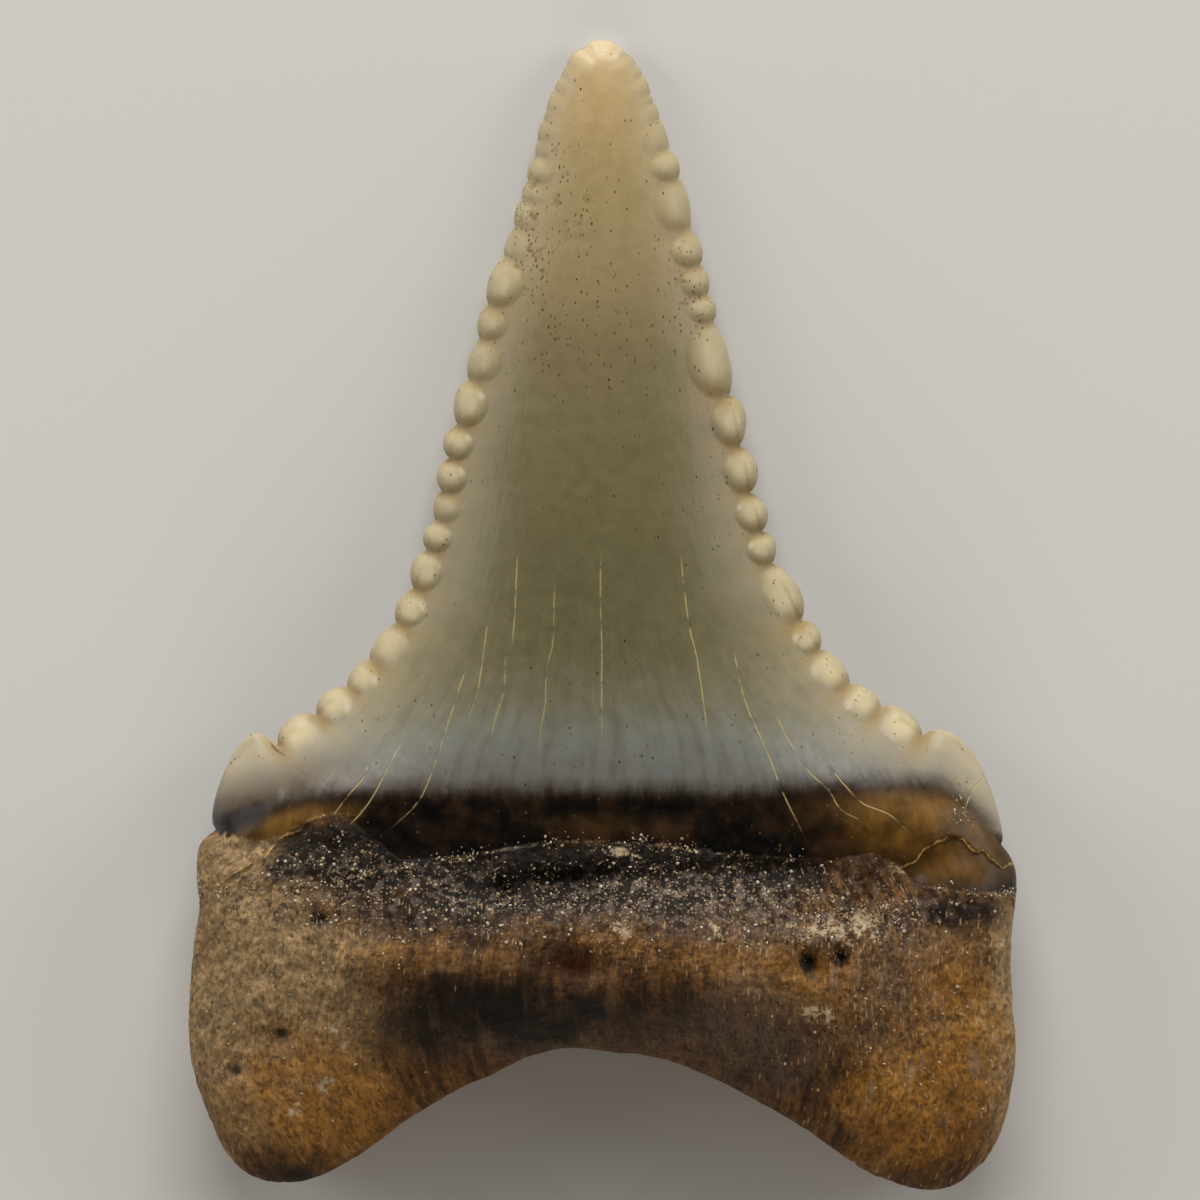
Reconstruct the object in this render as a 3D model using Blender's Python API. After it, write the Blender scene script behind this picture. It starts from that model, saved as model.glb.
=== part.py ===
"""Fossil great white shark tooth, lying on its flatter lip-side (labial) face.

The tooth grew as one piece, so it is one solid. X runs across the tooth, +Y points to
the tip, and +Z comes out of the domed tongue-side (lingual) face. The origin is the
middle of the bounding box's bottom. Sizes are in millimetres unless a name says
otherwise, and the mesh is written in metres.
"""

import math

import bmesh
import bpy
import numpy as np
from mathutils.kdtree import KDTree

MM = 0.001

# Overall size
TOOTH_HEIGHT = 26.16
TOOTH_WIDTH = 18.78

# Outline: smooth stretches, each from the tip end to the root end, and the arch from
# left to right. The blade's stretches run along the bottoms of its serration notches.
TIP_LEFT = (
    (-0.28, 13.04),
    (-0.47, 12.86),
    (-0.74, 12.60),
    (-0.94, 12.24),
    (-1.20, 11.65),
    (-1.40, 11.05),
    (-1.52, 10.42),
)
TIP_RIGHT = (
    (0.24, 13.04),
    (0.52, 12.78),
    (0.72, 12.55),
    (0.88, 12.28),
    (1.06, 11.85),
    (1.28, 11.26),
)
TIP_TOP = ((-0.28, 13.04), (-0.02, 13.08), (0.24, 13.04))
BLADE_LEFT = (
    (-1.52, 10.42),
    (-1.99, 8.85),
    (-2.58, 7.03),
    (-3.02, 5.31),
    (-3.47, 3.53),
    (-3.79, 2.10),
    (-4.30, 0.48),
    (-5.25, -1.05),
    (-6.40, -2.25),
    (-7.33, -3.03),
    (-8.07, -3.95),
    (-8.77, -4.90),
)
BLADE_RIGHT = (
    (1.28, 11.26),
    (1.69, 9.92),
    (1.99, 8.70),
    (2.50, 6.67),
    (2.85, 4.97),
    (3.32, 2.76),
    (3.90, 1.00),
    (4.80, -0.68),
    (5.90, -1.86),
    (7.26, -2.83),
    (8.17, -4.03),
    (9.02, -5.22),
)
SIDE_LEFT = (
    (-8.77, -4.90),
    (-9.12, -5.24),
    (-9.20, -6.06),
    (-9.14, -6.65),
    (-9.28, -7.65),
    (-9.38, -9.10),
    (-9.31, -10.15),
    (-9.04, -11.06),
    (-8.68, -11.95),
    (-8.31, -12.50),
)
SIDE_RIGHT = (
    (9.02, -5.22),
    (9.25, -5.55),
    (9.37, -5.95),
    (9.35, -6.55),
    (9.26, -7.55),
    (9.29, -8.85),
    (9.36, -9.80),
    (9.30, -10.60),
    (9.17, -11.30),
    (8.96, -11.92),
    (8.66, -12.42),
)
ARCH = (
    (-8.31, -12.50),
    (-7.79, -12.82),
    (-7.06, -12.91),
    (-6.24, -12.69),
    (-5.29, -12.10),
    (-4.38, -11.47),
    (-3.47, -10.90),
    (-2.56, -10.47),
    (-1.75, -10.08),
    (-0.80, -9.86),
    (0.21, -9.93),
    (1.30, -10.08),
    (2.25, -10.42),
    (3.35, -10.98),
    (4.48, -11.63),
    (5.39, -12.26),
    (6.30, -12.81),
    (7.32, -13.08),
    (8.05, -12.93),
    (8.66, -12.42),
)

# Serration beads from the tip down: length along the edge, and how far each stands out.
# The shoulders are the last bead on each side, with its own lean and fullness.
BEADS_LEFT = (
    (0.58, 0.10),
    (0.48, 0.07),
    (0.60, 0.10),
    (0.77, 0.08),
    (1.14, 0.19),
    (0.78, 0.16),
    (1.00, 0.15),
    (1.05, 0.24),
    (0.78, 0.25),
    (0.77, 0.22),
    (0.70, 0.15),
    (0.69, 0.20),
    (0.95, 0.27),
    (0.87, 0.23),
    (1.07, 0.19),
    (0.78, 0.20),
    (0.96, 0.27),
    (1.13, 0.35),
)
BEADS_RIGHT = (
    (0.70, 0.07),
    (0.70, 0.14),
    (1.20, 0.14),
    (0.84, 0.17),
    (0.69, 0.15),
    (0.63, 0.15),
    (1.73, 0.20),
    (1.16, 0.31),
    (1.10, 0.33),
    (0.93, 0.30),
    (0.75, 0.25),
    (1.48, 0.34),
    (0.78, 0.27),
    (1.03, 0.22),
    (0.93, 0.21),
    (1.13, 0.28),
)
SHOULDER_LEFT = (2.34, 0.74, 0.45, 0.50)
SHOULDER_RIGHT = (2.98, 0.68, 0.60, 0.65)
BEAD_FULLNESS = 0.62
BEAD_LEAN = 0.22
BEAD_REACH = 1.2

# Heights above the resting plane along the tooth, as (y, z)
CREST = (
    (-13.1, 3.25),
    (-9.0, 3.55),
    (-6.5, 3.62),
    (-5.0, 3.58),
    (-4.0, 3.55),
    (-3.0, 3.40),
    (0.0, 2.85),
    (4.0, 2.20),
    (8.0, 1.62),
    (10.0, 1.36),
    (12.0, 1.02),
    (13.1, 0.78),
)
SEAM = (
    (-13.1, 1.70),
    (-9.0, 1.85),
    (-6.0, 1.80),
    (-4.9, 1.45),
    (-3.5, 1.10),
    (0.0, 0.92),
    (4.0, 0.78),
    (8.0, 0.58),
    (10.0, 0.48),
    (13.1, 0.38),
)
SOLE = (
    (-13.1, -0.14),
    (-11.0, -0.12),
    (-9.0, 0.16),
    (-6.0, 0.36),
    (-3.0, 0.44),
    (0.0, 0.40),
    (4.0, 0.22),
    (8.0, 0.07),
    (11.0, -0.04),
    (13.1, 0.02),
)

# Where the enamel ends on each face, as (x, y), and the step down to the root there
ENAMEL_END = ((-9.0, -4.95), (-6.0, -4.35), (-3.0, -4.20), (3.0, -4.25), (6.0, -4.0), (9.0, -4.6))
LABIAL_ENAMEL_END = ((-9.0, -4.9), (-5.0, -6.3), (0.0, -5.3), (5.0, -6.3), (9.0, -5.4))
ENAMEL_STEP = 0.06
LABIAL_STEP = 0.08

# Edge rounding: tight along the blade, full round along the root
BLADE_RIM_WIDTH = 0.42
BLADE_RIM_RISE = 0.30
BLADE_RIM_DROP = 0.22
ROOT_RIM_WIDTH = 2.4
ROOT_RIM_WIDTH_UNDER = 1.9
ROOT_SLIMMING = 0.0022
SHOULDER_Y = (-5.3, -3.7)
DOME_POWER = 2.1
SOLE_POWER = 3.6
RELIEF_EDGE = 1.1

# Relief as bumps (+) and hollows (-): x, y, half width, half height, depth, tilt
LINGUAL_RELIEF = (
    (-0.5, -7.50, 6.0, 2.10, 1.10, 0.0),
    (-0.4, -6.85, 2.6, 0.50, 0.12, 0.0),
    (-1.0, -6.14, 1.6, 0.36, -0.42, 0.06),
    (3.0, -5.85, 2.2, 0.28, -0.16, 0.02),
    (-0.63, -7.95, 0.60, 0.42, -0.42, 0.0),
    (-2.20, -6.27, 0.20, 0.20, -0.24, 0.0),
    (4.62, -7.90, 0.24, 0.34, -0.34, 0.2),
    (5.35, -7.78, 0.18, 0.24, -0.28, 0.0),
    (-6.38, -6.92, 0.26, 0.20, -0.20, 0.0),
    (-7.22, -9.47, 0.26, 0.24, -0.18, 0.0),
    (-8.20, -10.30, 0.22, 0.26, -0.16, 0.0),
    (8.00, -5.70, 1.15, 0.42, -0.30, 0.05),
    (-7.6, -5.15, 0.80, 0.22, -0.14, 0.35),
    (7.3, -9.4, 0.35, 2.2, 0.10, 0.28),
    (6.1, -10.0, 0.32, 2.0, 0.08, 0.42),
    (8.4, -10.1, 0.30, 1.8, 0.08, 0.16),
    (-3.9, -7.9, 1.9, 0.45, 0.10, -0.1),
)
LABIAL_RELIEF = (
    (0.0, -8.2, 3.0, 1.6, -0.40, 0.0),
    (-0.9, -3.0, 0.45, 2.2, -0.07, 0.0),
    (1.0, -3.2, 0.45, 2.1, -0.07, 0.0),
    (-4.6, -8.3, 0.22, 0.30, -0.22, 0.0),
    (4.2, -8.8, 0.26, 0.24, -0.22, 0.0),
    (0.4, -8.2, 0.30, 0.24, -0.26, 0.0),
)
BOURLETTE_END = ((-9.0, -6.1), (-4.5, -5.7), (0.0, -5.15), (4.6, -5.60), (9.2, -6.35))
BOURLETTE_LEDGE = 0.10

# The loft: how far its rows sag between their ends, as (y, sag), how fine it is before
# it is thinned, and the triangles kept
ROW_SAG = ((-12.5, 0.0), (-8.0, 0.5), (-5.0, 1.2), (-3.0, 1.2), (0.0, 0.35), (3.0, 0.0), (13.0, 0.0))
ROWS_TIP = 44
ROWS_BLADE = 310
ROWS_SIDE = 110
COLUMNS = 90
EDGE_CROWDING = 0.6
OUTLINE_PITCH = 0.02
TRIANGLES_KEPT = 9300
CUTTER_DEPTH = 2.0


def smooth_curve(points, stops):
    """Points along a smooth curve through the given ones, at stops from 0 to 1."""
    knots = np.array(points, float)
    padded = np.vstack([2 * knots[0] - knots[1], knots, 2 * knots[-1] - knots[-2]])
    steps = np.linspace(0, 1, 24, endpoint=False)[:, None]
    stretches = []
    for a, b, c, d in zip(padded, padded[1:], padded[2:], padded[3:]):
        stretches.append(
            b
            + 0.5 * steps * (c - a)
            + steps**2 * (a - 2.5 * b + 2 * c - 0.5 * d)
            + 0.5 * steps**3 * (3 * b - 3 * c + d - a)
        )
    return walk(np.vstack(stretches + [knots[-1:]]), stops)


def walk(path, stops):
    """Points at the given shares, from 0 to 1, of the path's length."""
    walked = np.concatenate([[0], np.cumsum(np.hypot(*np.diff(path, axis=0).T))])
    return np.column_stack([np.interp(stops * walked[-1], walked, axis) for axis in path.T])


def smoothstep(low, high, value):
    """0 below low, 1 above high, and an even S between them."""
    t = np.clip((value - low) / (high - low), 0, 1)
    return t * t * (3 - 2 * t)


def along(table, value):
    """A smooth reading of a table of (place, size) pairs."""
    places, sizes = np.array(table).T
    order = np.argsort(places)
    dense = np.linspace(places.min(), places.max(), 400)
    plain = np.interp(dense, places[order], sizes[order])
    kernel = np.hanning(41)
    eased = np.convolve(np.pad(plain, 20, mode="edge"), kernel / kernel.sum(), mode="valid")
    return np.interp(value, dense, eased)


def bead_row(beads, shoulder):
    """Every bead of one side, as (length, proud, lean, fullness)."""
    leans = [1 + BEAD_LEAN * math.sin(2.4 * index) for index in range(len(beads))]
    return [(*bead, lean, BEAD_FULLNESS) for bead, lean in zip(beads, leans)] + [shoulder]


def bead_offsets(beads, count):
    """How far the serrated edge stands out of the notch line at each of count stops."""
    stops = np.linspace(0, sum(bead[0] for bead in beads), count)
    offsets = np.zeros(count)
    start = 0.0
    for length, proud, lean, fullness in beads:
        inside = np.clip((stops - start) / length, 0, 1)
        offsets += proud * np.clip(np.sin(np.pi * inside**lean), 0, 1) ** fullness
        start += length
    return offsets


def serrated(base, beads, side):
    """The blade's notch line with its beads added on the outer side, -1 left or 1 right."""
    tangent = np.gradient(base, axis=0)
    tangent /= np.linalg.norm(tangent, axis=1)[:, None]
    outward = side * np.column_stack([-tangent[:, 1], tangent[:, 0]])
    return base + outward * bead_offsets(beads, len(base))[:, None]


def side_lines(tip, blade, beads, side_points, side):
    """One side of the outline from tip to lobe: the plain line, and the serrated one."""
    tip_line = smooth_curve(tip, np.linspace(0, 1, ROWS_TIP))[:-1]
    blade_line = smooth_curve(blade, np.linspace(0, 1, ROWS_BLADE))
    root_line = smooth_curve(side_points, np.linspace(0, 1, ROWS_SIDE))[1:]
    toothed = serrated(blade_line, beads, side)
    plain = np.vstack([tip_line, blade_line, root_line])
    return plain, np.vstack([tip_line, toothed, root_line])


def spread_columns():
    """Places across the tooth from 0 to 1, closer together near both edges."""
    t = np.linspace(0, 1, COLUMNS)
    return t - EDGE_CROWDING * np.sin(2 * np.pi * t) / (2 * np.pi)


def plan_grid(columns, left, right, top_row, bottom_row):
    """Plan positions of the loft, row by row from the tip to the arch."""
    (left_plain, left_edge), (right_plain, right_edge) = left, right
    place = np.linspace(0, 1, len(left_plain))[:, None, None]
    u = columns[None, :, None]
    straight = (1 - u) * left_plain[:, None] + u * right_plain[:, None]
    tip_share = 1 - smoothstep(0, 0.5 * ROWS_TIP / len(left_plain), place)
    root_start = (ROWS_TIP + ROWS_BLADE) / len(left_plain)
    arch_share = np.clip((place - root_start) / (1 - root_start), 0, 1) ** 1.7
    grid = straight + tip_share * (top_row - straight[0]) + arch_share * (bottom_row - straight[-1])
    width = np.linalg.norm(right_plain - left_plain, axis=1)[:, None, None]
    near_left, near_right = np.exp(-u * width / BEAD_REACH), np.exp((u - 1) * width / BEAD_REACH)
    grid += near_left * (1 - u) ** 2 * (left_edge - left_plain)[:, None]
    grid += near_right * u**2 * (right_edge - right_plain)[:, None]
    sag = along(ROW_SAG, (left_plain[:, 1] + right_plain[:, 1]) / 2)[:, None]
    grid[..., 1] -= sag * ((1 - near_left) * (1 - near_right) * (1 - arch_share))[..., 0]
    return grid


def edge_distance(grid, outline):
    """Distance in plan from each grid point to the tooth's outline."""
    length = np.hypot(*np.diff(outline, axis=0).T).sum()
    dense = walk(outline, np.linspace(0, 1, int(length / OUTLINE_PITCH)))
    tree = KDTree(len(dense))
    for index, (x, y) in enumerate(dense):
        tree.insert((x, y, 0), index)
    tree.balance()
    found = [tree.find((x, y, 0))[2] for x, y in grid.reshape(-1, 2)]
    return np.array(found).reshape(grid.shape[:2])


def quarter_round(distance, width):
    """Rise from 0 to 1 of an edge rounded over the given width."""
    t = np.clip(distance / width, 0, 1)
    return np.sqrt(1 - (1 - t) ** 2)


def relief(x, y, bumps):
    """Sum of soft elliptical bumps and hollows."""
    total = np.zeros_like(x)
    for centre_x, centre_y, half_width, half_height, depth, tilt in bumps:
        cos, sin = math.cos(tilt), math.sin(tilt)
        across = ((x - centre_x) * cos + (y - centre_y) * sin) / half_width
        up = ((y - centre_y) * cos - (x - centre_x) * sin) / half_height
        total += depth * np.exp(-((across**2 + up**2) ** 1.25))
    return total


def lingual_height(x, y, u, distance):
    """Height of the domed upper face."""
    seam, crest = along(SEAM, y), along(CREST, y)
    root = 1 - smoothstep(*SHOULDER_Y, y)
    inner = smoothstep(0, RELIEF_EDGE, distance)
    dome = 1 - np.abs(2 * u - 1) ** DOME_POWER
    crown = seam + BLADE_RIM_RISE * quarter_round(distance, BLADE_RIM_WIDTH)
    crown += np.clip(crest - seam - BLADE_RIM_RISE, 0, None) * dome
    limb = seam + (crest - seam) * quarter_round(distance, ROOT_RIM_WIDTH) * (1 - ROOT_SLIMMING * x**2)
    limb += BOURLETTE_LEDGE * smoothstep(-0.08, 0.04, y - along(BOURLETTE_END, x)) * inner
    step = ENAMEL_STEP * smoothstep(-0.08, 0.08, y - along(ENAMEL_END, x)) * inner
    return crown * (1 - root) + limb * root + step + relief(x, y, LINGUAL_RELIEF) * inner


def labial_height(x, y, u, distance):
    """Height of the flatter lower face."""
    seam, sole = along(SEAM, y), along(SOLE, y)
    root = 1 - smoothstep(*SHOULDER_Y, y)
    inner = smoothstep(0, RELIEF_EDGE, distance)
    flat = 1 - np.abs(2 * u - 1) ** SOLE_POWER
    crown = seam - BLADE_RIM_DROP * quarter_round(distance, BLADE_RIM_WIDTH)
    crown -= np.clip(seam - BLADE_RIM_DROP - sole, 0, None) * flat
    limb = seam - (seam - sole) * quarter_round(distance, ROOT_RIM_WIDTH_UNDER)
    step = LABIAL_STEP * smoothstep(-0.08, 0.08, along(LABIAL_ENAMEL_END, x) - y) * inner
    return crown * (1 - root) + limb * root + step - relief(x, y, LABIAL_RELIEF) * inner


def loft_mesh(grid, upper, lower):
    """A closed mesh of both faces, which share the vertices around the border."""
    rows, columns = upper.shape
    above = np.arange(rows * columns).reshape(rows, columns)
    below = above.copy()
    below[1:-1, 1:-1] = rows * columns + np.arange((rows - 2) * (columns - 2)).reshape(rows - 2, -1)
    top = np.dstack([grid, upper]).reshape(-1, 3)
    bottom = np.dstack([grid, lower])[1:-1, 1:-1].reshape(-1, 3)
    faces = []
    for index, order in ((above, 1), (below, -1)):
        corners = (index[:-1, :-1], index[1:, :-1], index[1:, 1:], index[:-1, 1:])
        faces.append(np.dstack(corners[::order]).reshape(-1, 4))
    mesh = bpy.data.meshes.new("tooth")
    mesh.from_pydata((np.vstack([top, bottom]) * MM).tolist(), [], np.vstack(faces).tolist())
    merge_corners(mesh, above)
    return mesh


def merge_corners(mesh, index):
    """Welds the grid's four corners to their neighbours, so that no two faces lie back to back."""
    shape = bmesh.new()
    shape.from_mesh(mesh)
    shape.verts.ensure_lookup_table()
    pairs = {}
    for row in (0, -1):
        for column, beside in ((0, 1), (-1, -2)):
            pairs[shape.verts[index[row, column]]] = shape.verts[index[row, beside]]
    bmesh.ops.weld_verts(shape, targetmap=pairs)
    shape.to_mesh(mesh)
    shape.free()


def build_tooth():
    """The tooth as a dense closed mesh, centred over the origin."""
    beads_left, beads_right = bead_row(BEADS_LEFT, SHOULDER_LEFT), bead_row(BEADS_RIGHT, SHOULDER_RIGHT)
    left = side_lines(TIP_LEFT, BLADE_LEFT, beads_left, SIDE_LEFT, -1)
    right = side_lines(TIP_RIGHT, BLADE_RIGHT, beads_right, SIDE_RIGHT, 1)
    columns = spread_columns()
    top_row, bottom_row = smooth_curve(TIP_TOP, columns), smooth_curve(ARCH, columns)
    grid = plan_grid(columns, left, right, top_row, bottom_row)
    outline = np.vstack([left[1][::-1], top_row[1:-1], right[1], bottom_row[-2:0:-1], left[1][-1:]])
    distance = edge_distance(grid, outline)
    x, y = grid[..., 0], grid[..., 1]
    u = np.broadcast_to(columns, x.shape)
    low, high = outline.min(axis=0), outline.max(axis=0)
    upper, lower = lingual_height(x, y, u, distance), labial_height(x, y, u, distance)
    scale = np.array((TOOTH_WIDTH, TOOTH_HEIGHT)) / (high - low)
    return loft_mesh((grid - (low + high) / 2) * scale, upper, lower)


def clear_scene():
    """Removes whatever objects the scene holds."""
    for thing in list(bpy.data.objects):
        bpy.data.objects.remove(thing)


def new_collection(name):
    """A collection of this name, in the scene."""
    collection = bpy.data.collections.new(name)
    bpy.context.scene.collection.children.link(collection)
    return collection


def fossil_material():
    """Glossy fossil enamel, grey-green in the middle of the crown."""
    material = bpy.data.materials.new("fossil_enamel")
    material.use_nodes = True
    shader = material.node_tree.nodes["Principled BSDF"]
    shader.inputs["Base Color"].default_value = (0.27, 0.21, 0.12, 1)
    shader.inputs["Roughness"].default_value = 0.34
    shader.inputs["Metallic"].default_value = 0.0
    return material


def rest_cutter():
    """A block whose top face trims the lowest spots of the tooth to the resting plane."""
    shape = bmesh.new()
    bmesh.ops.create_cube(shape, size=1)
    bmesh.ops.scale(shape, verts=shape.verts, vec=(40 * MM, 40 * MM, CUTTER_DEPTH * MM))
    bmesh.ops.translate(shape, verts=shape.verts, vec=(0, 0, -CUTTER_DEPTH / 2 * MM))
    mesh = bpy.data.meshes.new("rest_cutter")
    shape.to_mesh(mesh)
    shape.free()
    cutter = bpy.data.objects.new("rest_cutter", mesh)
    cutter.hide_render = True
    cutter.display_type = "WIRE"
    return cutter


def main():
    """Builds the tooth, thins its mesh and trims where it rests."""
    clear_scene()
    mesh = build_tooth()
    mesh.materials.append(fossil_material())
    tooth = bpy.data.objects.new("tooth", mesh)
    new_collection("fossil_shark_tooth").objects.link(tooth)
    cutter = rest_cutter()
    new_collection("cutters").objects.link(cutter)
    thin = tooth.modifiers.new("thin", "DECIMATE")
    thin.ratio = TRIANGLES_KEPT / (2 * len(mesh.polygons))
    trim = tooth.modifiers.new("resting_spots", "BOOLEAN")
    trim.operation = "DIFFERENCE"
    trim.object = cutter
    mesh.shade_smooth()


main()
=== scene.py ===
"""Looks of the fossil great white shark tooth: fine form, finishes, grains, light and camera.

The tooth lies on its flatter lip-side (labial) face. X runs across it, +Y points to the
tip and +Z comes out of the domed tongue-side (lingual) face. Sizes of the form are in
millimetres, and meshes are made in metres.
"""

import logging
import math
from dataclasses import dataclass, field
from enum import Enum
from typing import Any, Sequence

import bmesh
import bpy
import numpy as np
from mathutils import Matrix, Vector
from mathutils.kdtree import KDTree


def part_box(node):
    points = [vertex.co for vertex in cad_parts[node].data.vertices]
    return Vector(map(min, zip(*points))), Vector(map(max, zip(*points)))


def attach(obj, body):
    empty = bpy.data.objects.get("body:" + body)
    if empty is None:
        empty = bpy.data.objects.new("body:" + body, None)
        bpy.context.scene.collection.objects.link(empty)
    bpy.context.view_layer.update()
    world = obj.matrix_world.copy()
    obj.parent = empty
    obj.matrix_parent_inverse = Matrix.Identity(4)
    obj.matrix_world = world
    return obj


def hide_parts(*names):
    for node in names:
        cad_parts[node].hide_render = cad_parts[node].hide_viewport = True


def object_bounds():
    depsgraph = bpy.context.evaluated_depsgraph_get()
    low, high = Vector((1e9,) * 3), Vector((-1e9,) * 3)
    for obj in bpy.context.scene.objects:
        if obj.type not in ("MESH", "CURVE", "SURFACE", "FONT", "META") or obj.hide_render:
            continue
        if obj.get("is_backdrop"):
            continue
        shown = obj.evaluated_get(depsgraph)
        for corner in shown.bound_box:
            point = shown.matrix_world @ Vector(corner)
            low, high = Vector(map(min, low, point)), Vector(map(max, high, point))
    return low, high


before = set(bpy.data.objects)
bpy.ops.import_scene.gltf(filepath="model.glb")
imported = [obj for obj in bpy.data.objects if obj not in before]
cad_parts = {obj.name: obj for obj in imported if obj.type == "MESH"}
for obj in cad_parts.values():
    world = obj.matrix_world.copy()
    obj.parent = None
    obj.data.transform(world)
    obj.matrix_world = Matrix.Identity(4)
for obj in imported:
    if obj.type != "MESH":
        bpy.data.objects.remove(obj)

LOG = logging.getLogger("tooth")
MM = 0.001

Pairs = Sequence[tuple[float, float]]
Colour = tuple[float, float, float, float]
Socket = bpy.types.NodeSocket


class Face(Enum):
    """The two faces of the tooth."""

    LINGUAL = "lingual"
    LABIAL = "labial"


class Stain(Enum):
    """What marks the tooth in places, each kept on the mesh as a soft mask of that name; some masks also hold
    painted shade or painted sheen.
    """

    AMBER = "amber"
    CRUST = "crust"
    # Dark stain of the bone, together with painted shade in the relief's hollows and pits and along the lobes'
    # lower edges.
    DARK_STAIN_AND_SHADE = "dark_stain_and_shade"
    RUST = "rust"
    SPECK = "speck"
    TAN = "tan"
    LIP = "lip_shown"
    GRAIN = "grain"
    # Grey-purple tint of the root, partly its own colour and partly painted sheen.
    MAUVE_SHEEN = "mauve_sheen"
    FIBRE = "fibre"


def srgb(red: float, green: float, blue: float) -> Colour:
    """A colour given as 0 to 255 screen values, as the renderer's linear one."""
    shares = [value / 255 for value in (red, green, blue)]
    linear = [s / 12.92 if s <= 0.04045 else ((s + 0.055) / 1.055) ** 2.4 for s in shares]
    return (*linear, 1.0)


def smoothstep(low: float, high: float, value: np.ndarray) -> np.ndarray:
    """0 below low, 1 above high, and an even S between them."""
    t = np.clip((value - low) / (high - low), 0, 1)
    return t * t * (3 - 2 * t)


def walk(path: np.ndarray, stops: np.ndarray) -> np.ndarray:
    """Points at the given shares, from 0 to 1, of the path's length."""
    walked = np.concatenate([[0], np.cumsum(np.hypot(*np.diff(path, axis=0).T))])
    return np.column_stack([np.interp(stops * walked[-1], walked, axis) for axis in path.T])


def smooth_curve(points: Pairs, stops: np.ndarray) -> np.ndarray:
    """Points along a smooth curve through the given ones.

    Args:
        points: The curve's own points, as (x, y).
        stops: Shares of its length, from 0 to 1.

    Returns:
        One (x, y) row for each stop.
    """
    knots = np.array(points, float)
    padded = np.vstack([2 * knots[0] - knots[1], knots, 2 * knots[-1] - knots[-2]])
    steps = np.linspace(0, 1, 24, endpoint=False)[:, None]
    stretches = []
    for a, b, c, d in zip(padded, padded[1:], padded[2:], padded[3:]):
        stretches.append(
            b
            + 0.5 * steps * (c - a)
            + steps**2 * (a - 2.5 * b + 2 * c - 0.5 * d)
            + 0.5 * steps**3 * (3 * b - 3 * c + d - a)
        )
    return walk(np.vstack(stretches + [knots[-1:]]), stops)


def along(table: Pairs, value: np.ndarray) -> np.ndarray:
    """A smooth reading of a table of (place, size) pairs."""
    places, sizes = np.array(table).T
    order = np.argsort(places)
    dense = np.linspace(places.min(), places.max(), 400)
    plain = np.interp(dense, places[order], sizes[order])
    kernel = np.hanning(41)
    eased = np.convolve(np.pad(plain, 20, mode="edge"), kernel / kernel.sum(), mode="valid")
    return np.interp(value, dense, eased)


def quarter_round(distance: np.ndarray, width: float) -> np.ndarray:
    """Rise from 0 to 1 of an edge rounded over the given width."""
    t = np.clip(distance / width, 0, 1)
    return np.sqrt(1 - (1 - t) ** 2)


@dataclass(frozen=True)
class Patch:
    """A soft elliptical patch on one face: a bump, a hollow or a stain."""

    x: float
    y: float
    half_width: float
    half_height: float
    amount: float
    tilt: float = 0.0

    def spread(self, x: np.ndarray, y: np.ndarray) -> np.ndarray:
        """The patch's amount at each place, fading to 0 outside it."""
        cos, sin = math.cos(self.tilt), math.sin(self.tilt)
        across = ((x - self.x) * cos + (y - self.y) * sin) / self.half_width
        up = ((y - self.y) * cos - (x - self.x) * sin) / self.half_height
        return self.amount * np.exp(-((across**2 + up**2) ** 1.25))


@dataclass(frozen=True)
class Bead:
    """One serration: its length along the edge, how far it stands out, and its shape."""

    length: float
    proud: float
    lean: float
    fullness: float
    swell: float = 1.0

    def profile(self, inside: np.ndarray) -> np.ndarray:
        """How far the outline stands out along the bead, from 0 to 1 and back."""
        return np.clip(np.sin(np.pi * inside**self.lean), 0, 1) ** self.fullness


@dataclass(frozen=True)
class Pearl:
    """The rounded top of one serration, seen from above."""

    middle: np.ndarray
    rootward: np.ndarray
    half_length: float
    half_depth: float
    swell: float
    side: int
    trail: float = 1.9

    def spread(self, x: np.ndarray, y: np.ndarray) -> tuple[np.ndarray, np.ndarray]:
        """How far up the pearl's dome each place lies, and how far round to its root side."""
        ahead, aside = x - self.middle[0], y - self.middle[1]
        down = (ahead * self.rootward[0] + aside * self.rootward[1]) / self.half_length
        out = (ahead * self.rootward[1] - aside * self.rootward[0]) / self.half_depth
        out = np.where(out * self.side > 0, out / self.trail, out)
        dome = np.clip(1 - np.where(down < 0, 1.1, 0.95) * down**2 - out**2, 0, 1)
        # The root side of each dome, which the crown's colour darkens as painted shade, away from the light.
        under = smoothstep(0.25, 0.85, down) * (1 - smoothstep(1.0, 1.45, down)) * np.exp(-(out**2))
        return self.swell * dome, self.swell * under


@dataclass(frozen=True)
class Crack:
    """A fine crack in the enamel, from its top down, and how strongly it shows."""

    points: Pairs
    strength: float


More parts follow.
